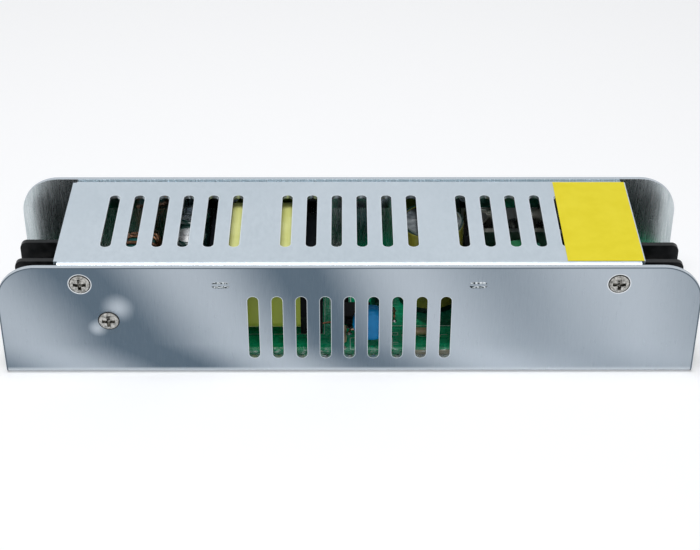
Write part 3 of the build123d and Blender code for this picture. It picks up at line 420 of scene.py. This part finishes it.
def flat_ring(mesh, x, y, low, high, inner, outer, steps=24):
    """A flat ring of tin or ink round a centre."""
    corners = []
    for radius, height in ((inner, low), (inner, high), (outer, high), (outer, low)):
        turn = [
            mesh.verts.new((x + radius * math.cos(a), y + radius * math.sin(a), height))
            for a in (2 * math.pi * step / steps for step in range(steps))
        ]
        corners.append(turn)
    for level in range(3):
        for step in range(steps):
            after = (step + 1) % steps
            near, far = corners[level], corners[level + 1]
            mesh.faces.new((near[step], near[after], far[after], far[step]))


def printed_frame(mesh, x, y, height, line=0.0002):
    """A rectangle of printed lines between two places on each axis."""
    outer = [(x[0], y[0]), (x[1], y[0]), (x[1], y[1]), (x[0], y[1])]
    inner = [
        (x[0] + line, y[0] + line), (x[1] - line, y[0] + line),
        (x[1] - line, y[1] - line), (x[0] + line, y[1] - line),
    ]
    rings = [[mesh.verts.new((*corner, height)) for corner in corners] for corners in (outer, inner)]
    for step in range(4):
        after = (step + 1) % 4
        mesh.faces.new((rings[0][step], rings[0][after], rings[1][after], rings[1][step]))


def printed_bar(mesh, x, y, height):
    """A short printed bar."""
    corners = ((x[0], y[0]), (x[1], y[0]), (x[1], y[1]), (x[0], y[1]))
    mesh.faces.new([mesh.verts.new((*corner, height)) for corner in corners])


holes = board_holes()
board_low, board_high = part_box("circuit_board")
dress(board_material(), "circuit_board")

tin = finish(
    "soldered_tin", mottled_skin,
    {
        "Main": (0.72, 0.72, 0.70, 1), "Other": (0.58, 0.58, 0.56, 1), "Patch": 1200.0,
        "Smooth": 0.18, "Rough": 0.35, "Depth": 0.2,
    },
    Metallic=1.0,
)
largest_lead_hole = 0.0014
tin_thickness = 0.00004
rings = bmesh.new()
for x, y, radius in holes:
    wide = radius + (0.0016 if radius > largest_lead_hole else 0.00055)
    flat_ring(rings, x, y, board_high.z, board_high.z + tin_thickness, radius, wide)
    flat_ring(rings, x, y, board_low.z - tin_thickness, board_low.z, radius, wide)
placed("hole_rings", rings, tin)

joint_height = 0.0009
joints = bmesh.new()
for x, y, radius in holes:
    if radius < largest_lead_hole:
        bmesh.ops.create_cone(
            joints, segments=16, cap_ends=True,
            radius1=radius * 0.45, radius2=radius + 0.0004, depth=joint_height,
            matrix=Matrix.Translation((x, y, board_low.z - joint_height / 2)),
        )
placed("solder_joints", joints, tin)

ink = finish(
    "board_ink", mottled_skin,
    {
        "Main": (0.66, 0.80, 0.73, 1), "Other": (0.55, 0.70, 0.62, 1), "Patch": 2500.0,
        "Smooth": 0.45, "Rough": 0.6, "Depth": 0.05,
    },
)
ink_high = board_high.z + 0.00003
margin = 0.0007
prints = bmesh.new()
for name in (
    "safety_capacitor", "control_chip", "optocoupler", "film_capacitor", "bridge_rectifier", "choke_base",
    "line_capacitor", "thermistor", "output_inductor_winding",
):
    low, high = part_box(name)
    printed_frame(prints, (low.x - margin, high.x + margin), (low.y - margin, high.y + margin), ink_high)
low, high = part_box("transformer_core")
printed_frame(prints, (low.x - 0.0005, high.x + 0.0006), (low.y + 0.0024, high.y - 0.0024), ink_high)
low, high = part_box("bulk_capacitor_sleeve")
bulk_middle = (low + high) / 2
printed_bar(prints, (low.x - 0.0025, high.x + 0.0016), (-0.00945, -0.00925), ink_high)

# Small plain marks between the large capacitor and the near edge
for inner, outer in ((0.0015, 0.0017), (0.0006, 0.0008)):
    flat_ring(prints, 0.0203, -0.0128, board_high.z, ink_high, inner, outer)
printed_frame(prints, (0.0118, 0.0135), (-0.0138, -0.0125), ink_high)
printed_bar(prints, (0.0119, 0.0135), (-0.0172, -0.0170), ink_high)
printed_bar(prints, (0.0119, 0.0135), (-0.0180, -0.0178), ink_high)
printed_bar(prints, (0.0254, 0.0272), (-0.0136, -0.0134), ink_high)

low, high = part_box("output_capacitor_sleeves")
can_radius = (high.x - low.x) / 2
can_spacing = (high.y - low.y) / 2 - can_radius
can_centres = [((low.x + high.x) / 2, low.y + can_radius + place * can_spacing) for place in (0, 1, 2)]
for x, y in can_centres:
    flat_ring(prints, x, y, board_high.z, ink_high, can_radius + 0.0001, can_radius + 0.0003, 48)
placed("board_prints", prints, ink)


def grain_effect():
    """Brushing drawn out along one axis over broad, soft patches."""
    group, given, out = new_effect(
        "brushed_sheet",
        {
            "Light": ("Color", (0.6, 0.6, 0.6, 1)),
            "Dark": ("Color", (0.4, 0.4, 0.4, 1)),
            "Stretch": ("Vector", (3000, 3000, 60)),
            "Patch": ("Float", 25.0),
            "Contrast": ("Float", 0.5),
            "Smooth": ("Float", 0.25),
            "Rough": ("Float", 0.4),
            "Depth": ("Float", 0.2),
        },
        {"Color": "Color", "Roughness": "Float", "Normal": "Vector"},
    )
    place = node(group, "TexCoord").outputs["Object"]
    drawn = node(group, "VectorMath", {0: place, 1: given["Stretch"]}, operation="MULTIPLY").outputs[0]
    lines = noise(group, drawn, 1.0, 3.0)
    fine = ranged(group, lines, 0.3, 0.7)
    soft = ranged(group, noise(group, place, given["Patch"]), 0.35, 0.65)
    share = node(group, "Mix", {0: given["Contrast"], 2: soft, 3: fine}).outputs[0]
    group.links.new(mixed(group, share, given["Dark"], given["Light"]), out["Color"])
    group.links.new(ranged(group, share, 0.0, 1.0, given["Smooth"], given["Rough"]), out["Roughness"])
    bump = node(group, "Bump", {"Strength": given["Depth"], "Distance": 0.00005, "Height": lines})
    group.links.new(bump.outputs[0], out["Normal"])
    return group


brushed_sheet = grain_effect()
steel = finish(
    "tinned_steel", brushed_sheet,
    {
        "Light": (0.60, 0.61, 0.60, 1), "Dark": (0.40, 0.41, 0.41, 1), "Stretch": (900, 4000, 900),
        "Patch": 260.0, "Contrast": 0.5, "Smooth": 0.24, "Rough": 0.42, "Depth": 0.15,
    },
    Metallic=1.0,
)
nickel = finish(
    "nickel_plate", mottled_skin,
    {
        "Main": (0.56, 0.55, 0.52, 1), "Other": (0.38, 0.37, 0.35, 1), "Patch": 900.0,
        "Smooth": 0.16, "Rough": 0.30, "Depth": 0.12,
    },
    Metallic=1.0,
)
dress(steel, "board_standoffs")
dress(nickel, "board_screws")


def bare_wire(name, points, thickness, material):
    """A round wire with closed ends through these points."""
    line = bpy.data.curves.new(name, "CURVE")
    line.dimensions = "3D"
    line.bevel_depth = thickness / 2
    line.bevel_resolution = 3
    line.use_fill_caps = True
    spline = line.splines.new("POLY")
    spline.points.add(len(points) - 1)
    for point, spot in zip(spline.points, points):
        point.co = (*spot, 1)
    wire = bpy.data.objects.new(name, line)
    bpy.context.scene.collection.objects.link(wire)
    line.materials.append(material)
    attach(wire, "root")
    return wire


# Link wires
# Short bent links of copper wire that carry a track over another one. They are soldered
# to the board, one in front of the chips and one beside the large capacitor.

def wire_link(name, first, second, height):
    """A link between two places of the board, with a mound of solder at each end."""
    thickness, bend, mound_height = 0.0006, 0.0006, 0.0005
    points = []
    for place, other in ((first, second), (second, first)):
        leg = Vector((*place, board_high.z))
        way = (Vector((*other, board_high.z)) - leg).normalized()
        curved = []
        for step in range(5):
            turn = math.pi / 2 * step / 4
            lift = height - bend + bend * math.sin(turn)
            curved.append(leg + way * bend * (1 - math.cos(turn)) + Vector((0, 0, lift)))
        run = [leg, *curved]
        points = points + (run if place is first else run[::-1])
    bare_wire(name, points, thickness, copper)
    mounds = bmesh.new()
    for place in (first, second):
        bmesh.ops.create_cone(
            mounds, segments=16, cap_ends=True, radius1=0.0008, radius2=0.00035, depth=mound_height,
            matrix=Matrix.Translation((*place, board_high.z + mound_height / 2)),
        )
    placed(name + "_solder", mounds, tin)


copper = finish(
    "enamelled_copper", mottled_skin,
    {
        "Main": (0.34, 0.17, 0.085, 1), "Other": (0.20, 0.09, 0.045, 1), "Patch": 350.0,
        "Smooth": 0.2, "Rough": 0.34, "Depth": 0.1,
    },
    Metallic=0.85, Coat_Weight=0.5,
)
wire_link("wire_link_1", (0.0126, -0.0070), (0.0126, -0.0022), 0.0014)
wire_link("wire_link_2", (0.0000, -0.0128), (0.0052, -0.0128), 0.0013)


# Terminals
# Moulded black blocks with a fin between each two poles. Each pole has a tinned brass plate,
# a square steel clamp washer and a captive pan-head screw.

black = finish(
    "black_nylon", mottled_skin,
    {
        "Main": (0.006, 0.007, 0.008, 1), "Other": (0.013, 0.014, 0.016, 1), "Patch": 500.0,
        "Smooth": 0.30, "Rough": 0.45, "Depth": 0.25,
    },
    Specular_IOR_Level=0.2,
)
dress(black, "dc_terminal_block", "ac_terminal_block")
brass = finish(
    "tinned_brass", brushed_sheet,
    {
        "Light": (0.74, 0.72, 0.66, 1), "Dark": (0.55, 0.53, 0.48, 1), "Stretch": (2500, 500, 2500),
        "Patch": 300.0, "Contrast": 0.5, "Smooth": 0.2, "Rough": 0.36, "Depth": 0.1,
    },
    Metallic=1.0,
)
dress(brass, "dc_terminal_contacts", "ac_terminal_contacts")
for end in ("dc", "ac"):
    for pole in (1, 2, 3):
        dress(steel, f"{end}_clamp_washer_{pole}")
        dress(nickel, f"{end}_terminal_screw_{pole}")


# Power devices on the sides
# Two rectifiers and two transistors: a tinned copper frame in black epoxy, with its tab
# on a grey silicone pad. A steel bar and one case screw press each pair to its side.

epoxy = finish(
    "device_epoxy", mottled_skin,
    {
        "Main": (0.006, 0.006, 0.007, 1), "Other": (0.012, 0.012, 0.014, 1), "Patch": 800.0,
        "Smooth": 0.38, "Rough": 0.55, "Depth": 0.35,
    },
    Specular_IOR_Level=0.2,
)
pad = finish(
    "silicone_pad", mottled_skin,
    {
        "Main": (0.42, 0.44, 0.45, 1), "Other": (0.34, 0.36, 0.37, 1), "Patch": 400.0,
        "Smooth": 0.55, "Rough": 0.7, "Depth": 0.3,
    },
)
dress(brass, "rectifier_frames", "transistor_frames")
dress(epoxy, "rectifier_bodies", "transistor_bodies")
dress(pad, "rectifier_pad", "transistor_pad")
dress(steel, "rectifier_clamp", "transistor_clamp")


# Output inductor
# A teal coated iron powder ring stood on edge, wound by hand with one layer of thick
# enamelled copper wire. Both ends of the wire go down into the board.

def ring_coil(name, centre, axis, sizes, arc, turns, material, lead_z=None):
    """Round wire in one layer round a ring core that stands on edge.

    centre: middle of the ring; axis: X or Y; sizes: outer and inner diameter, height and wire;
    arc: first and last angle from straight down, in degrees.
    """
    outer, inner, height, wire = sizes
    middle = (outer + inner) / 4
    half_r = (outer - inner) / 4 + wire / 2
    half_h = (height + wire) / 2
    steps, squareness = 18, 0.45
    points = []
    for step in range(turns * steps + 1):
        share = step / (turns * steps)
        angle = math.radians(arc[0] + (arc[1] - arc[0]) * share)
        round_core = 2 * math.pi * step / steps
        bow_r, bow_h = math.cos(round_core), math.sin(round_core)
        radius = middle + half_r * math.copysign(abs(bow_r) ** squareness, bow_r)
        along = half_h * math.copysign(abs(bow_h) ** squareness, bow_h)
        side, up = radius * math.sin(angle), -radius * math.cos(angle)
        spot = (along, side, up) if axis == "X" else (side, -along, up)
        points.append(Vector(centre) + Vector(spot))
    if lead_z is not None:
        points.insert(0, Vector((points[0].x, points[0].y, lead_z)))
        points.append(Vector((points[-1].x, points[-1].y, lead_z)))
    return bare_wire(name, points, wire, material)


powder = finish(
    "powder_coating", mottled_skin,
    {
        "Main": (0.02, 0.16, 0.14, 1), "Other": (0.012, 0.10, 0.09, 1), "Patch": 600.0,
        "Smooth": 0.4, "Rough": 0.6, "Depth": 0.4,
    },
)
dress(powder, "output_inductor_core")
low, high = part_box("output_inductor_core")
inductor_middle = (low + high) / 2
inductor_sizes = (0.0190, 0.0100, 0.0076, 0.00108)
inductor_wire = ring_coil(
    "inductor_wire", inductor_middle, "X", inductor_sizes, (24, 336), 17, copper, lead_z=0.0032,
)
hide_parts("output_inductor_winding")


# Transformer
# Two dark ferrite halves in a black bobbin, wound with copper and wrapped in yellow
# polyester tape. Ten square pins carry it on the board.

ferrite = finish(
    "ferrite", mottled_skin,
    {
        "Main": (0.004, 0.005, 0.007, 1), "Other": (0.008, 0.010, 0.013, 1), "Patch": 900.0,
        "Smooth": 0.35, "Rough": 0.55, "Depth": 0.3,
    },
    Specular_IOR_Level=0.06,
)


def tape_material():
    """Yellow tape, with a deeper yellow painted on its sides as painted shade."""
    material, tree, surface = new_material("polyester_tape", Specular_IOR_Level=0.3)
    values = {
        "Light": (0.78, 0.80, 0.34, 1), "Dark": (0.66, 0.68, 0.22, 1), "Stretch": (2200, 60, 60),
        "Patch": 160.0, "Contrast": 0.3, "Smooth": 0.30, "Rough": 0.42, "Depth": 0.2,
    }
    skin = node(tree, "Group", values, node_tree=brushed_sheet)
    upright = node(tree, "SeparateXYZ", {0: node(tree, "TexCoord").outputs["Normal"]}).outputs[2]
    side = worked(tree, "LESS_THAN", worked(tree, "ABSOLUTE", upright), 0.5)
    # Painted shade: faces that stand upright get the deeper yellow
    colour = mixed(tree, side, skin.outputs["Color"], (0.56, 0.66, 0.09, 1))
    tree.links.new(colour, surface.inputs["Base Color"])
    tree.links.new(skin.outputs["Roughness"], surface.inputs["Roughness"])
    tree.links.new(skin.outputs["Normal"], surface.inputs["Normal"])
    return material


dress(ferrite, "transformer_core")
dress(black, "transformer_bobbin", "choke_base")
dress(copper, "transformer_winding")
dress(tape_material(), "transformer_band")
dress(brass, "transformer_pins")

# One end of the winding comes out beside the core and goes down to the board
bare_wire(
    "winding_lead",
    [
        (-0.0078, -0.0106, 0.0078), (-0.0046, -0.0103, 0.0081), (-0.0042, -0.0103, 0.0079),
        (-0.0040, -0.0103, 0.0074), (-0.0040, -0.0103, board_high.z),
    ],
    0.0006, copper,
)


# Mains choke
# A green coated ferrite ring with two equal windings of green enamelled wire, apart
# from each other, on a black moulded base.

green_ring = finish(
    "green_coating", mottled_skin,
    {
        "Main": (0.03, 0.26, 0.10, 1), "Other": (0.02, 0.18, 0.07, 1), "Patch": 500.0,
        "Smooth": 0.3, "Rough": 0.5, "Depth": 0.3,
    },
)
dress(green_ring, "choke_core")
green_wire = finish(
    "green_enamel", mottled_skin,
    {
        "Main": (0.012, 0.24, 0.15, 1), "Other": (0.008, 0.15, 0.10, 1), "Patch": 350.0,
        "Smooth": 0.2, "Rough": 0.34, "Depth": 0.1,
    },
    Coat_Weight=0.3,
)
low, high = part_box("choke_core")
choke_middle = (low + high) / 2
choke_sizes = (0.0176, 0.0090, 0.0070, 0.00098)
for side, arc in (("left", (202, 338)), ("right", (22, 158))):
    wound = ring_coil(f"choke_wire_{side}", choke_middle, "Y", choke_sizes, arc, 10, green_wire)
    if side == "left":
        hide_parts("choke_windings")


# Capacitors
# Electrolytic cans of drawn aluminium, the large one painted dark as shade and the others bright,
# in shrink sleeves with a plain lighter stripe. A cross is scored in each top as a vent. The other
# capacitors are a dipped blue disc and moulded boxes.

def sleeve_material(name, body, other, stripe, foot, foot_top):
    """A shrink sleeve with a stripe down its back, a dark foot and a dark turned-in edge."""
    material, tree, surface = new_material(name, Coat_Weight=0.3)
    values = {"Main": body, "Other": other, "Patch": 420.0, "Depth": 0.2}
    skin = node(tree, "Group", values, node_tree=mottled_skin)
    place = node(tree, "TexCoord").outputs
    back, upright = node(tree, "SeparateXYZ", {0: place["Normal"]}).outputs[1:]
    height = node(tree, "SeparateXYZ", {0: place["Object"]}).outputs[2]
    striped = mixed(tree, worked(tree, "GREATER_THAN", back, 0.93), skin.outputs["Color"], stripe)
    printed = worked(tree, "MAXIMUM", worked(tree, "LESS_THAN", height, foot_top), upright)
    footed = mixed(tree, ranged(tree, printed, 0.3, 0.5), striped, foot)
    tree.links.new(footed, surface.inputs["Base Color"])
    tree.links.new(ranged(tree, skin.outputs["Roughness"], 0.3, 0.5, 0.14, 0.28), surface.inputs["Roughness"])
    tree.links.new(skin.outputs["Normal"], surface.inputs["Normal"])
    return material


def can_material(name, centres, reach, light, dark):
    """Drawn aluminium between two colours, with a scored cross at each centre."""
    material, tree, surface = new_material(name, Metallic=1.0)
    place = node(tree, "TexCoord").outputs["Object"]
    x, y, z = node(tree, "SeparateXYZ", {0: place}).outputs
    skin = noise(tree, place, 500.0, 4.0)
    score, half_line, tops_from = None, 0.00016, 0.015
    for centre_x, centre_y in centres:
        aside = worked(tree, "ABSOLUTE", worked(tree, "SUBTRACT", x, centre_x))
        beyond = worked(tree, "ABSOLUTE", worked(tree, "SUBTRACT", y, centre_y))
        thin = worked(tree, "LESS_THAN", worked(tree, "MINIMUM", aside, beyond), half_line)
        short = worked(tree, "LESS_THAN", worked(tree, "MAXIMUM", aside, beyond), reach)
        cross = worked(tree, "MULTIPLY", thin, short)
        score = worked(tree, "MAXIMUM", score, cross) if score else cross
    score = worked(tree, "MULTIPLY", score, worked(tree, "GREATER_THAN", z, tops_from))
    metal = mixed(tree, ranged(tree, skin, 0.35, 0.65), light, dark)
    tree.links.new(mixed(tree, score, metal, (0.35, 0.36, 0.38, 1)), surface.inputs["Base Color"])
    tree.links.new(ranged(tree, skin, 0.35, 0.65, 0.22, 0.36), surface.inputs["Roughness"])
    relief = node(tree, "Bump", {"Strength": 0.6, "Distance": -0.00008, "Height": score})
    tree.links.new(relief.outputs[0], surface.inputs["Normal"])
    return material


bright = ((0.96, 0.97, 0.98, 1), (0.82, 0.84, 0.86, 1))
# Painted shade: the large can's aluminium is painted dark
shaded_can_tones = ((0.16, 0.18, 0.19, 1), (0.05, 0.06, 0.07, 1))
dress(can_material("bright_can", can_centres, 0.0030, *bright), "output_capacitor_cans")
dress(can_material("shaded_can", [(bulk_middle.x, bulk_middle.y)], 0.0055, *shaded_can_tones), "bulk_capacitor_can")
low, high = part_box("control_capacitor_can")
small_centre = ((low.x + high.x) / 2, (low.y + high.y) / 2)
dress(can_material("small_can", [small_centre], 0.0018, *bright), "control_capacitor_can")
dress(
    sleeve_material(
        "dark_sleeve", (0.004, 0.030, 0.026, 1), (0.010, 0.045, 0.040, 1), (0.20, 0.26, 0.25, 1),
        (0.004, 0.030, 0.026, 1), 0.0,
    ),
    "output_capacitor_sleeves", "control_capacitor_sleeve",
)
dress(
    sleeve_material(
        "olive_sleeve", (0.40, 0.37, 0.050, 1), (0.26, 0.24, 0.030, 1), (0.55, 0.52, 0.22, 1),
        (0.004, 0.022, 0.016, 1), 0.0078,
    ),
    "bulk_capacitor_sleeve",
)
blue = finish(
    "blue_dip", mottled_skin,
    {
        "Main": (0.0, 0.33, 0.78, 1), "Other": (0.0, 0.27, 0.66, 1), "Patch": 300.0,
        "Smooth": 0.30, "Rough": 0.42, "Depth": 0.2,
    },
    Specular_IOR_Level=0.3,
)
dress(blue, "safety_capacitor")
teal = finish(
    "teal_box", mottled_skin,
    {
        "Main": (0.010, 0.16, 0.17, 1), "Other": (0.008, 0.11, 0.12, 1), "Patch": 500.0,
        "Smooth": 0.25, "Rough": 0.4, "Depth": 0.2,
    },
)
dress(teal, "film_capacitor")
grey = finish(
    "grey_box", mottled_skin,
    {
        "Main": (0.13, 0.16, 0.18, 1), "Other": (0.09, 0.11, 0.13, 1), "Patch": 500.0,
        "Smooth": 0.3, "Rough": 0.45, "Depth": 0.2,
    },
)
dress(grey, "line_capacitor")


# Chips, bridge, resistors, thermistor and fuse
# The small parts that stand or lie on the board on their own leads: black epoxy, buff
# lacquer on the resistors, a dark dipped disc, and a glass fuse tube between two caps.

dress(epoxy, "control_chip", "optocoupler", "bridge_rectifier")
lacquer = finish(
    "resistor_lacquer", mottled_skin,
    {
        "Main": (0.50, 0.38, 0.22, 1), "Other": (0.38, 0.27, 0.14, 1), "Patch": 700.0,
        "Smooth": 0.3, "Rough": 0.45, "Depth": 0.2,
    },
)
dress(lacquer, "resistors")
dark_dip = finish(
    "dark_dip", mottled_skin,
    {
        "Main": (0.008, 0.020, 0.018, 1), "Other": (0.016, 0.032, 0.028, 1), "Patch": 400.0,
        "Smooth": 0.3, "Rough": 0.5, "Depth": 0.3,
    },
)
dress(dark_dip, "thermistor")
dress(brass, "fuse_caps")
glass = finish(
    "fuse_glass", mottled_skin,
    {
        "Main": (0.90, 0.94, 0.93, 1), "Other": (0.86, 0.91, 0.90, 1), "Patch": 300.0,
        "Smooth": 0.03, "Rough": 0.08, "Depth": 0.02,
    },
    Transmission_Weight=1.0, IOR=1.5,
)
dress(glass, "fuse_tube")


# Slotted cover, its screws and its sticker
# One sheet of 1 mm aluminium with three groups of slots and two short flanges. Four raised
# countersunk screws hold it, and two more draw the device clamps to the sides.

def cover_material():
    """Matt rolled sheet, with a painted highlight on the rim round each slot."""
    material, tree, surface = new_material("cover_aluminium", Metallic=1.0)
    place = node(tree, "TexCoord").outputs["Object"]
    x, y, z = node(tree, "SeparateXYZ", {0: place}).outputs
    fine = noise(tree, place, (1400, 700, 700), 3.0)
    broad = noise(tree, place, 26.0)
    share = node(tree, "Mix", {0: 0.5, 2: ranged(tree, fine, 0.3, 0.7), 3: ranged(tree, broad, 0.35, 0.65)})
    colour = mixed(tree, share.outputs[0], (0.455, 0.525, 0.585, 1), (0.52, 0.585, 0.645, 1))

    # The row has a plain place between each two groups, as wide as one slot and its rims
    slot_pitch = 0.0069
    aside = worked(tree, "ABSOLUTE", x)
    plain = worked(tree, "COMPARE", aside, 3.5 * slot_pitch, 0.0034)
    slotted = worked(tree, "SUBTRACT", worked(tree, "LESS_THAN", aside, 10 * slot_pitch), plain)
    across = worked(tree, "SUBTRACT", worked(tree, "WRAP", x, slot_pitch, 0.0), slot_pitch / 2)
    sizes = {"Across": across, "Along": y, "Half Length": 0.0131, "Half Width": 0.00145, "Reach": 0.00028}
    rim = worked(tree, "MULTIPLY", slotted, node(tree, "Group", sizes, node_tree=slot_highlight_mask).outputs[0])
    rim = worked(tree, "MULTIPLY", rim, worked(tree, "GREATER_THAN", z, 0.0335))
    # Painted highlight on the rims of the slots
    tree.links.new(mixed(tree, rim, colour, (0.66, 0.72, 0.77, 1)), surface.inputs["Base Color"])

    # The underside and the inner faces of the flanges are smoother
    flange_inside, underside = 0.0209, 0.0341
    inner = worked(tree, "LESS_THAN", worked(tree, "ABSOLUTE", y), flange_inside)
    inner = worked(tree, "MULTIPLY", inner, worked(tree, "LESS_THAN", z, underside))
    matt = ranged(tree, fine, 0.3, 0.7, 0.32, 0.44)
    gloss = node(tree, "Mix", {0: inner, 2: matt, 3: 0.12}).outputs[0]
    tree.links.new(gloss, surface.inputs["Roughness"])
    relief = node(tree, "Bump", {"Strength": 0.04, "Distance": 0.00004, "Height": fine})
    tree.links.new(relief.outputs[0], surface.inputs["Normal"])
    return material


def case_screw_material(name, centres, face_y):
    """A plated screw head, with painted shade and painted glints in its recess, and a painted shade ring at
    its rim, in the gap round it.
    """
    material, tree, surface = new_material(name, Metallic=1.0)
    place = node(tree, "TexCoord").outputs["Object"]
    x, y, z = node(tree, "SeparateXYZ", {0: place}).outputs
    skin = noise(tree, place, 1500.0, 4.0)
    radius, recess_radius, recess_depth = None, 0.0018, 0.00022
    for centre_x, centre_z in centres:
        away = distance(tree, worked(tree, "SUBTRACT", x, centre_x), worked(tree, "SUBTRACT", z, centre_z))
        radius = worked(tree, "MINIMUM", radius, away) if radius else away
    colour = mixed(tree, ranged(tree, skin, 0.35, 0.65), (0.16, 0.16, 0.15, 1), (0.58, 0.57, 0.54, 1))
    # Painted shade: a dark ring at the rim of the head, in the gap round it
    colour = mixed(tree, ranged(tree, radius, 0.00255, 0.00270), colour, (0.02, 0.02, 0.02, 1))
    sunk = worked(tree, "LESS_THAN", worked(tree, "ABSOLUTE", y), face_y + recess_depth)
    recess = worked(tree, "MULTIPLY", sunk, worked(tree, "LESS_THAN", radius, recess_radius))
    # Painted shade in the recess, broken by painted glints
    recess_shade_and_glints = mixed(tree, ranged(tree, skin, 0.45, 0.60), (0.035, 0.035, 0.032, 1), (0.40, 0.39, 0.36, 1))
    tree.links.new(mixed(tree, recess, colour, recess_shade_and_glints), surface.inputs["Base Color"])
    tree.links.new(ranged(tree, skin, 0.35, 0.65, 0.20, 0.42), surface.inputs["Roughness"])
    relief = node(tree, "Bump", {"Strength": 0.5, "Distance": 0.00006, "Height": skin})
    tree.links.new(relief.outputs[0], surface.inputs["Normal"])
    return material


dress(cover_material(), "top_cover")
low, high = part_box("cover_screws")
cover_screw_high = high.z - head_radius
cover_centres = [(low.x + head_radius, cover_screw_high), (high.x - head_radius, cover_screw_high)]
dress(case_screw_material("cover_screw_steel", cover_centres, 0.0230), "cover_screws")
device_centres = [(axis_x, device_screw_high) for axis_x, face_y in device_screw_axes]
dress(case_screw_material("device_screw_steel", device_centres, 0.0225), "device_screws")
dress(
    finish(
        "yellow_sticker", mottled_skin,
        {
            "Main": (0.79, 0.68, 0.020, 1), "Other": (0.75, 0.64, 0.016, 1), "Patch": 200.0,
            "Smooth": 0.42, "Rough": 0.52, "Depth": 0.06,
        },
        Specular_IOR_Level=0.25,
    ),
    "top_sticker",
)


# Floor, light and camera
# A plain pale table that ends in white, one broad soft lamp overhead and a small one
# beside the camera, which stands a little above the near side.

def seen_rays(tree):
    """1 for rays of the camera, of reflections and through glass."""
    path = node(tree, "LightPath").outputs
    looked = worked(tree, "MAXIMUM", path["Is Camera Ray"], path["Is Glossy Ray"])
    return worked(tree, "MAXIMUM", looked, path["Is Transmission Ray"])


def floor_material():
    """Pale, and lifted towards white wherever it is looked at or mirrored."""
    material, tree, surface = new_material("floor", Roughness=0.8)
    surface.inputs["Base Color"].default_value = (0.84, 0.85, 0.87, 1)
    surface.inputs["Emission Color"].default_value = (1, 1, 1, 1)
    tree.links.new(worked(tree, "MULTIPLY", seen_rays(tree), 0.20), surface.inputs["Emission Strength"])
    return material


def lamp(name, place, target, size, power):
    """A soft square lamp that faces a point."""
    light = bpy.data.lights.new(name, "AREA")
    light.size = size
    light.energy = power
    made = bpy.data.objects.new(name, light)
    made.location = place
    made.rotation_euler = (Vector(target) - Vector(place)).to_track_quat("-Z", "Y").to_euler()
    bpy.context.scene.collection.objects.link(made)


table = bmesh.new()
bmesh.ops.create_grid(table, x_segments=1, y_segments=1, size=3.0)
floor_data = bpy.data.meshes.new("floor")
table.to_mesh(floor_data)
table.free()
floor = bpy.data.objects.new("floor", floor_data)
bpy.context.scene.collection.objects.link(floor)
floor_data.materials.append(floor_material())

world = bpy.data.worlds.new("studio")
bpy.context.scene.world = world
world.use_nodes = True
sky = world.node_tree.nodes["Background"]
sky.inputs["Color"].default_value = (1, 1, 1, 1)
level = ranged(world.node_tree, seen_rays(world.node_tree), 0.0, 1.0, 0.30, 1.0)
world.node_tree.links.new(level, sky.inputs["Strength"])
lamp("overhead", (-0.05, -0.12, 0.80), (0, 0, 0), 0.40, 4.3)
lamp("beside_camera", (0.05, -0.45, 0.40), (0, 0, 0.02), 0.14, 0.16)

camera_data = bpy.data.cameras.new("camera")
camera_data.sensor_width = 36.0
camera_data.lens = 85.40
camera_data.clip_start = 0.01
camera = bpy.data.objects.new("camera", camera_data)
camera.location = (-0.00153, -0.38423, 0.28067)
camera.rotation_euler = (math.pi / 2 - 0.6017, -0.0015, -0.0035)
bpy.context.scene.collection.objects.link(camera)
bpy.context.scene.camera = camera
bpy.context.scene.view_settings.view_transform = "Standard"
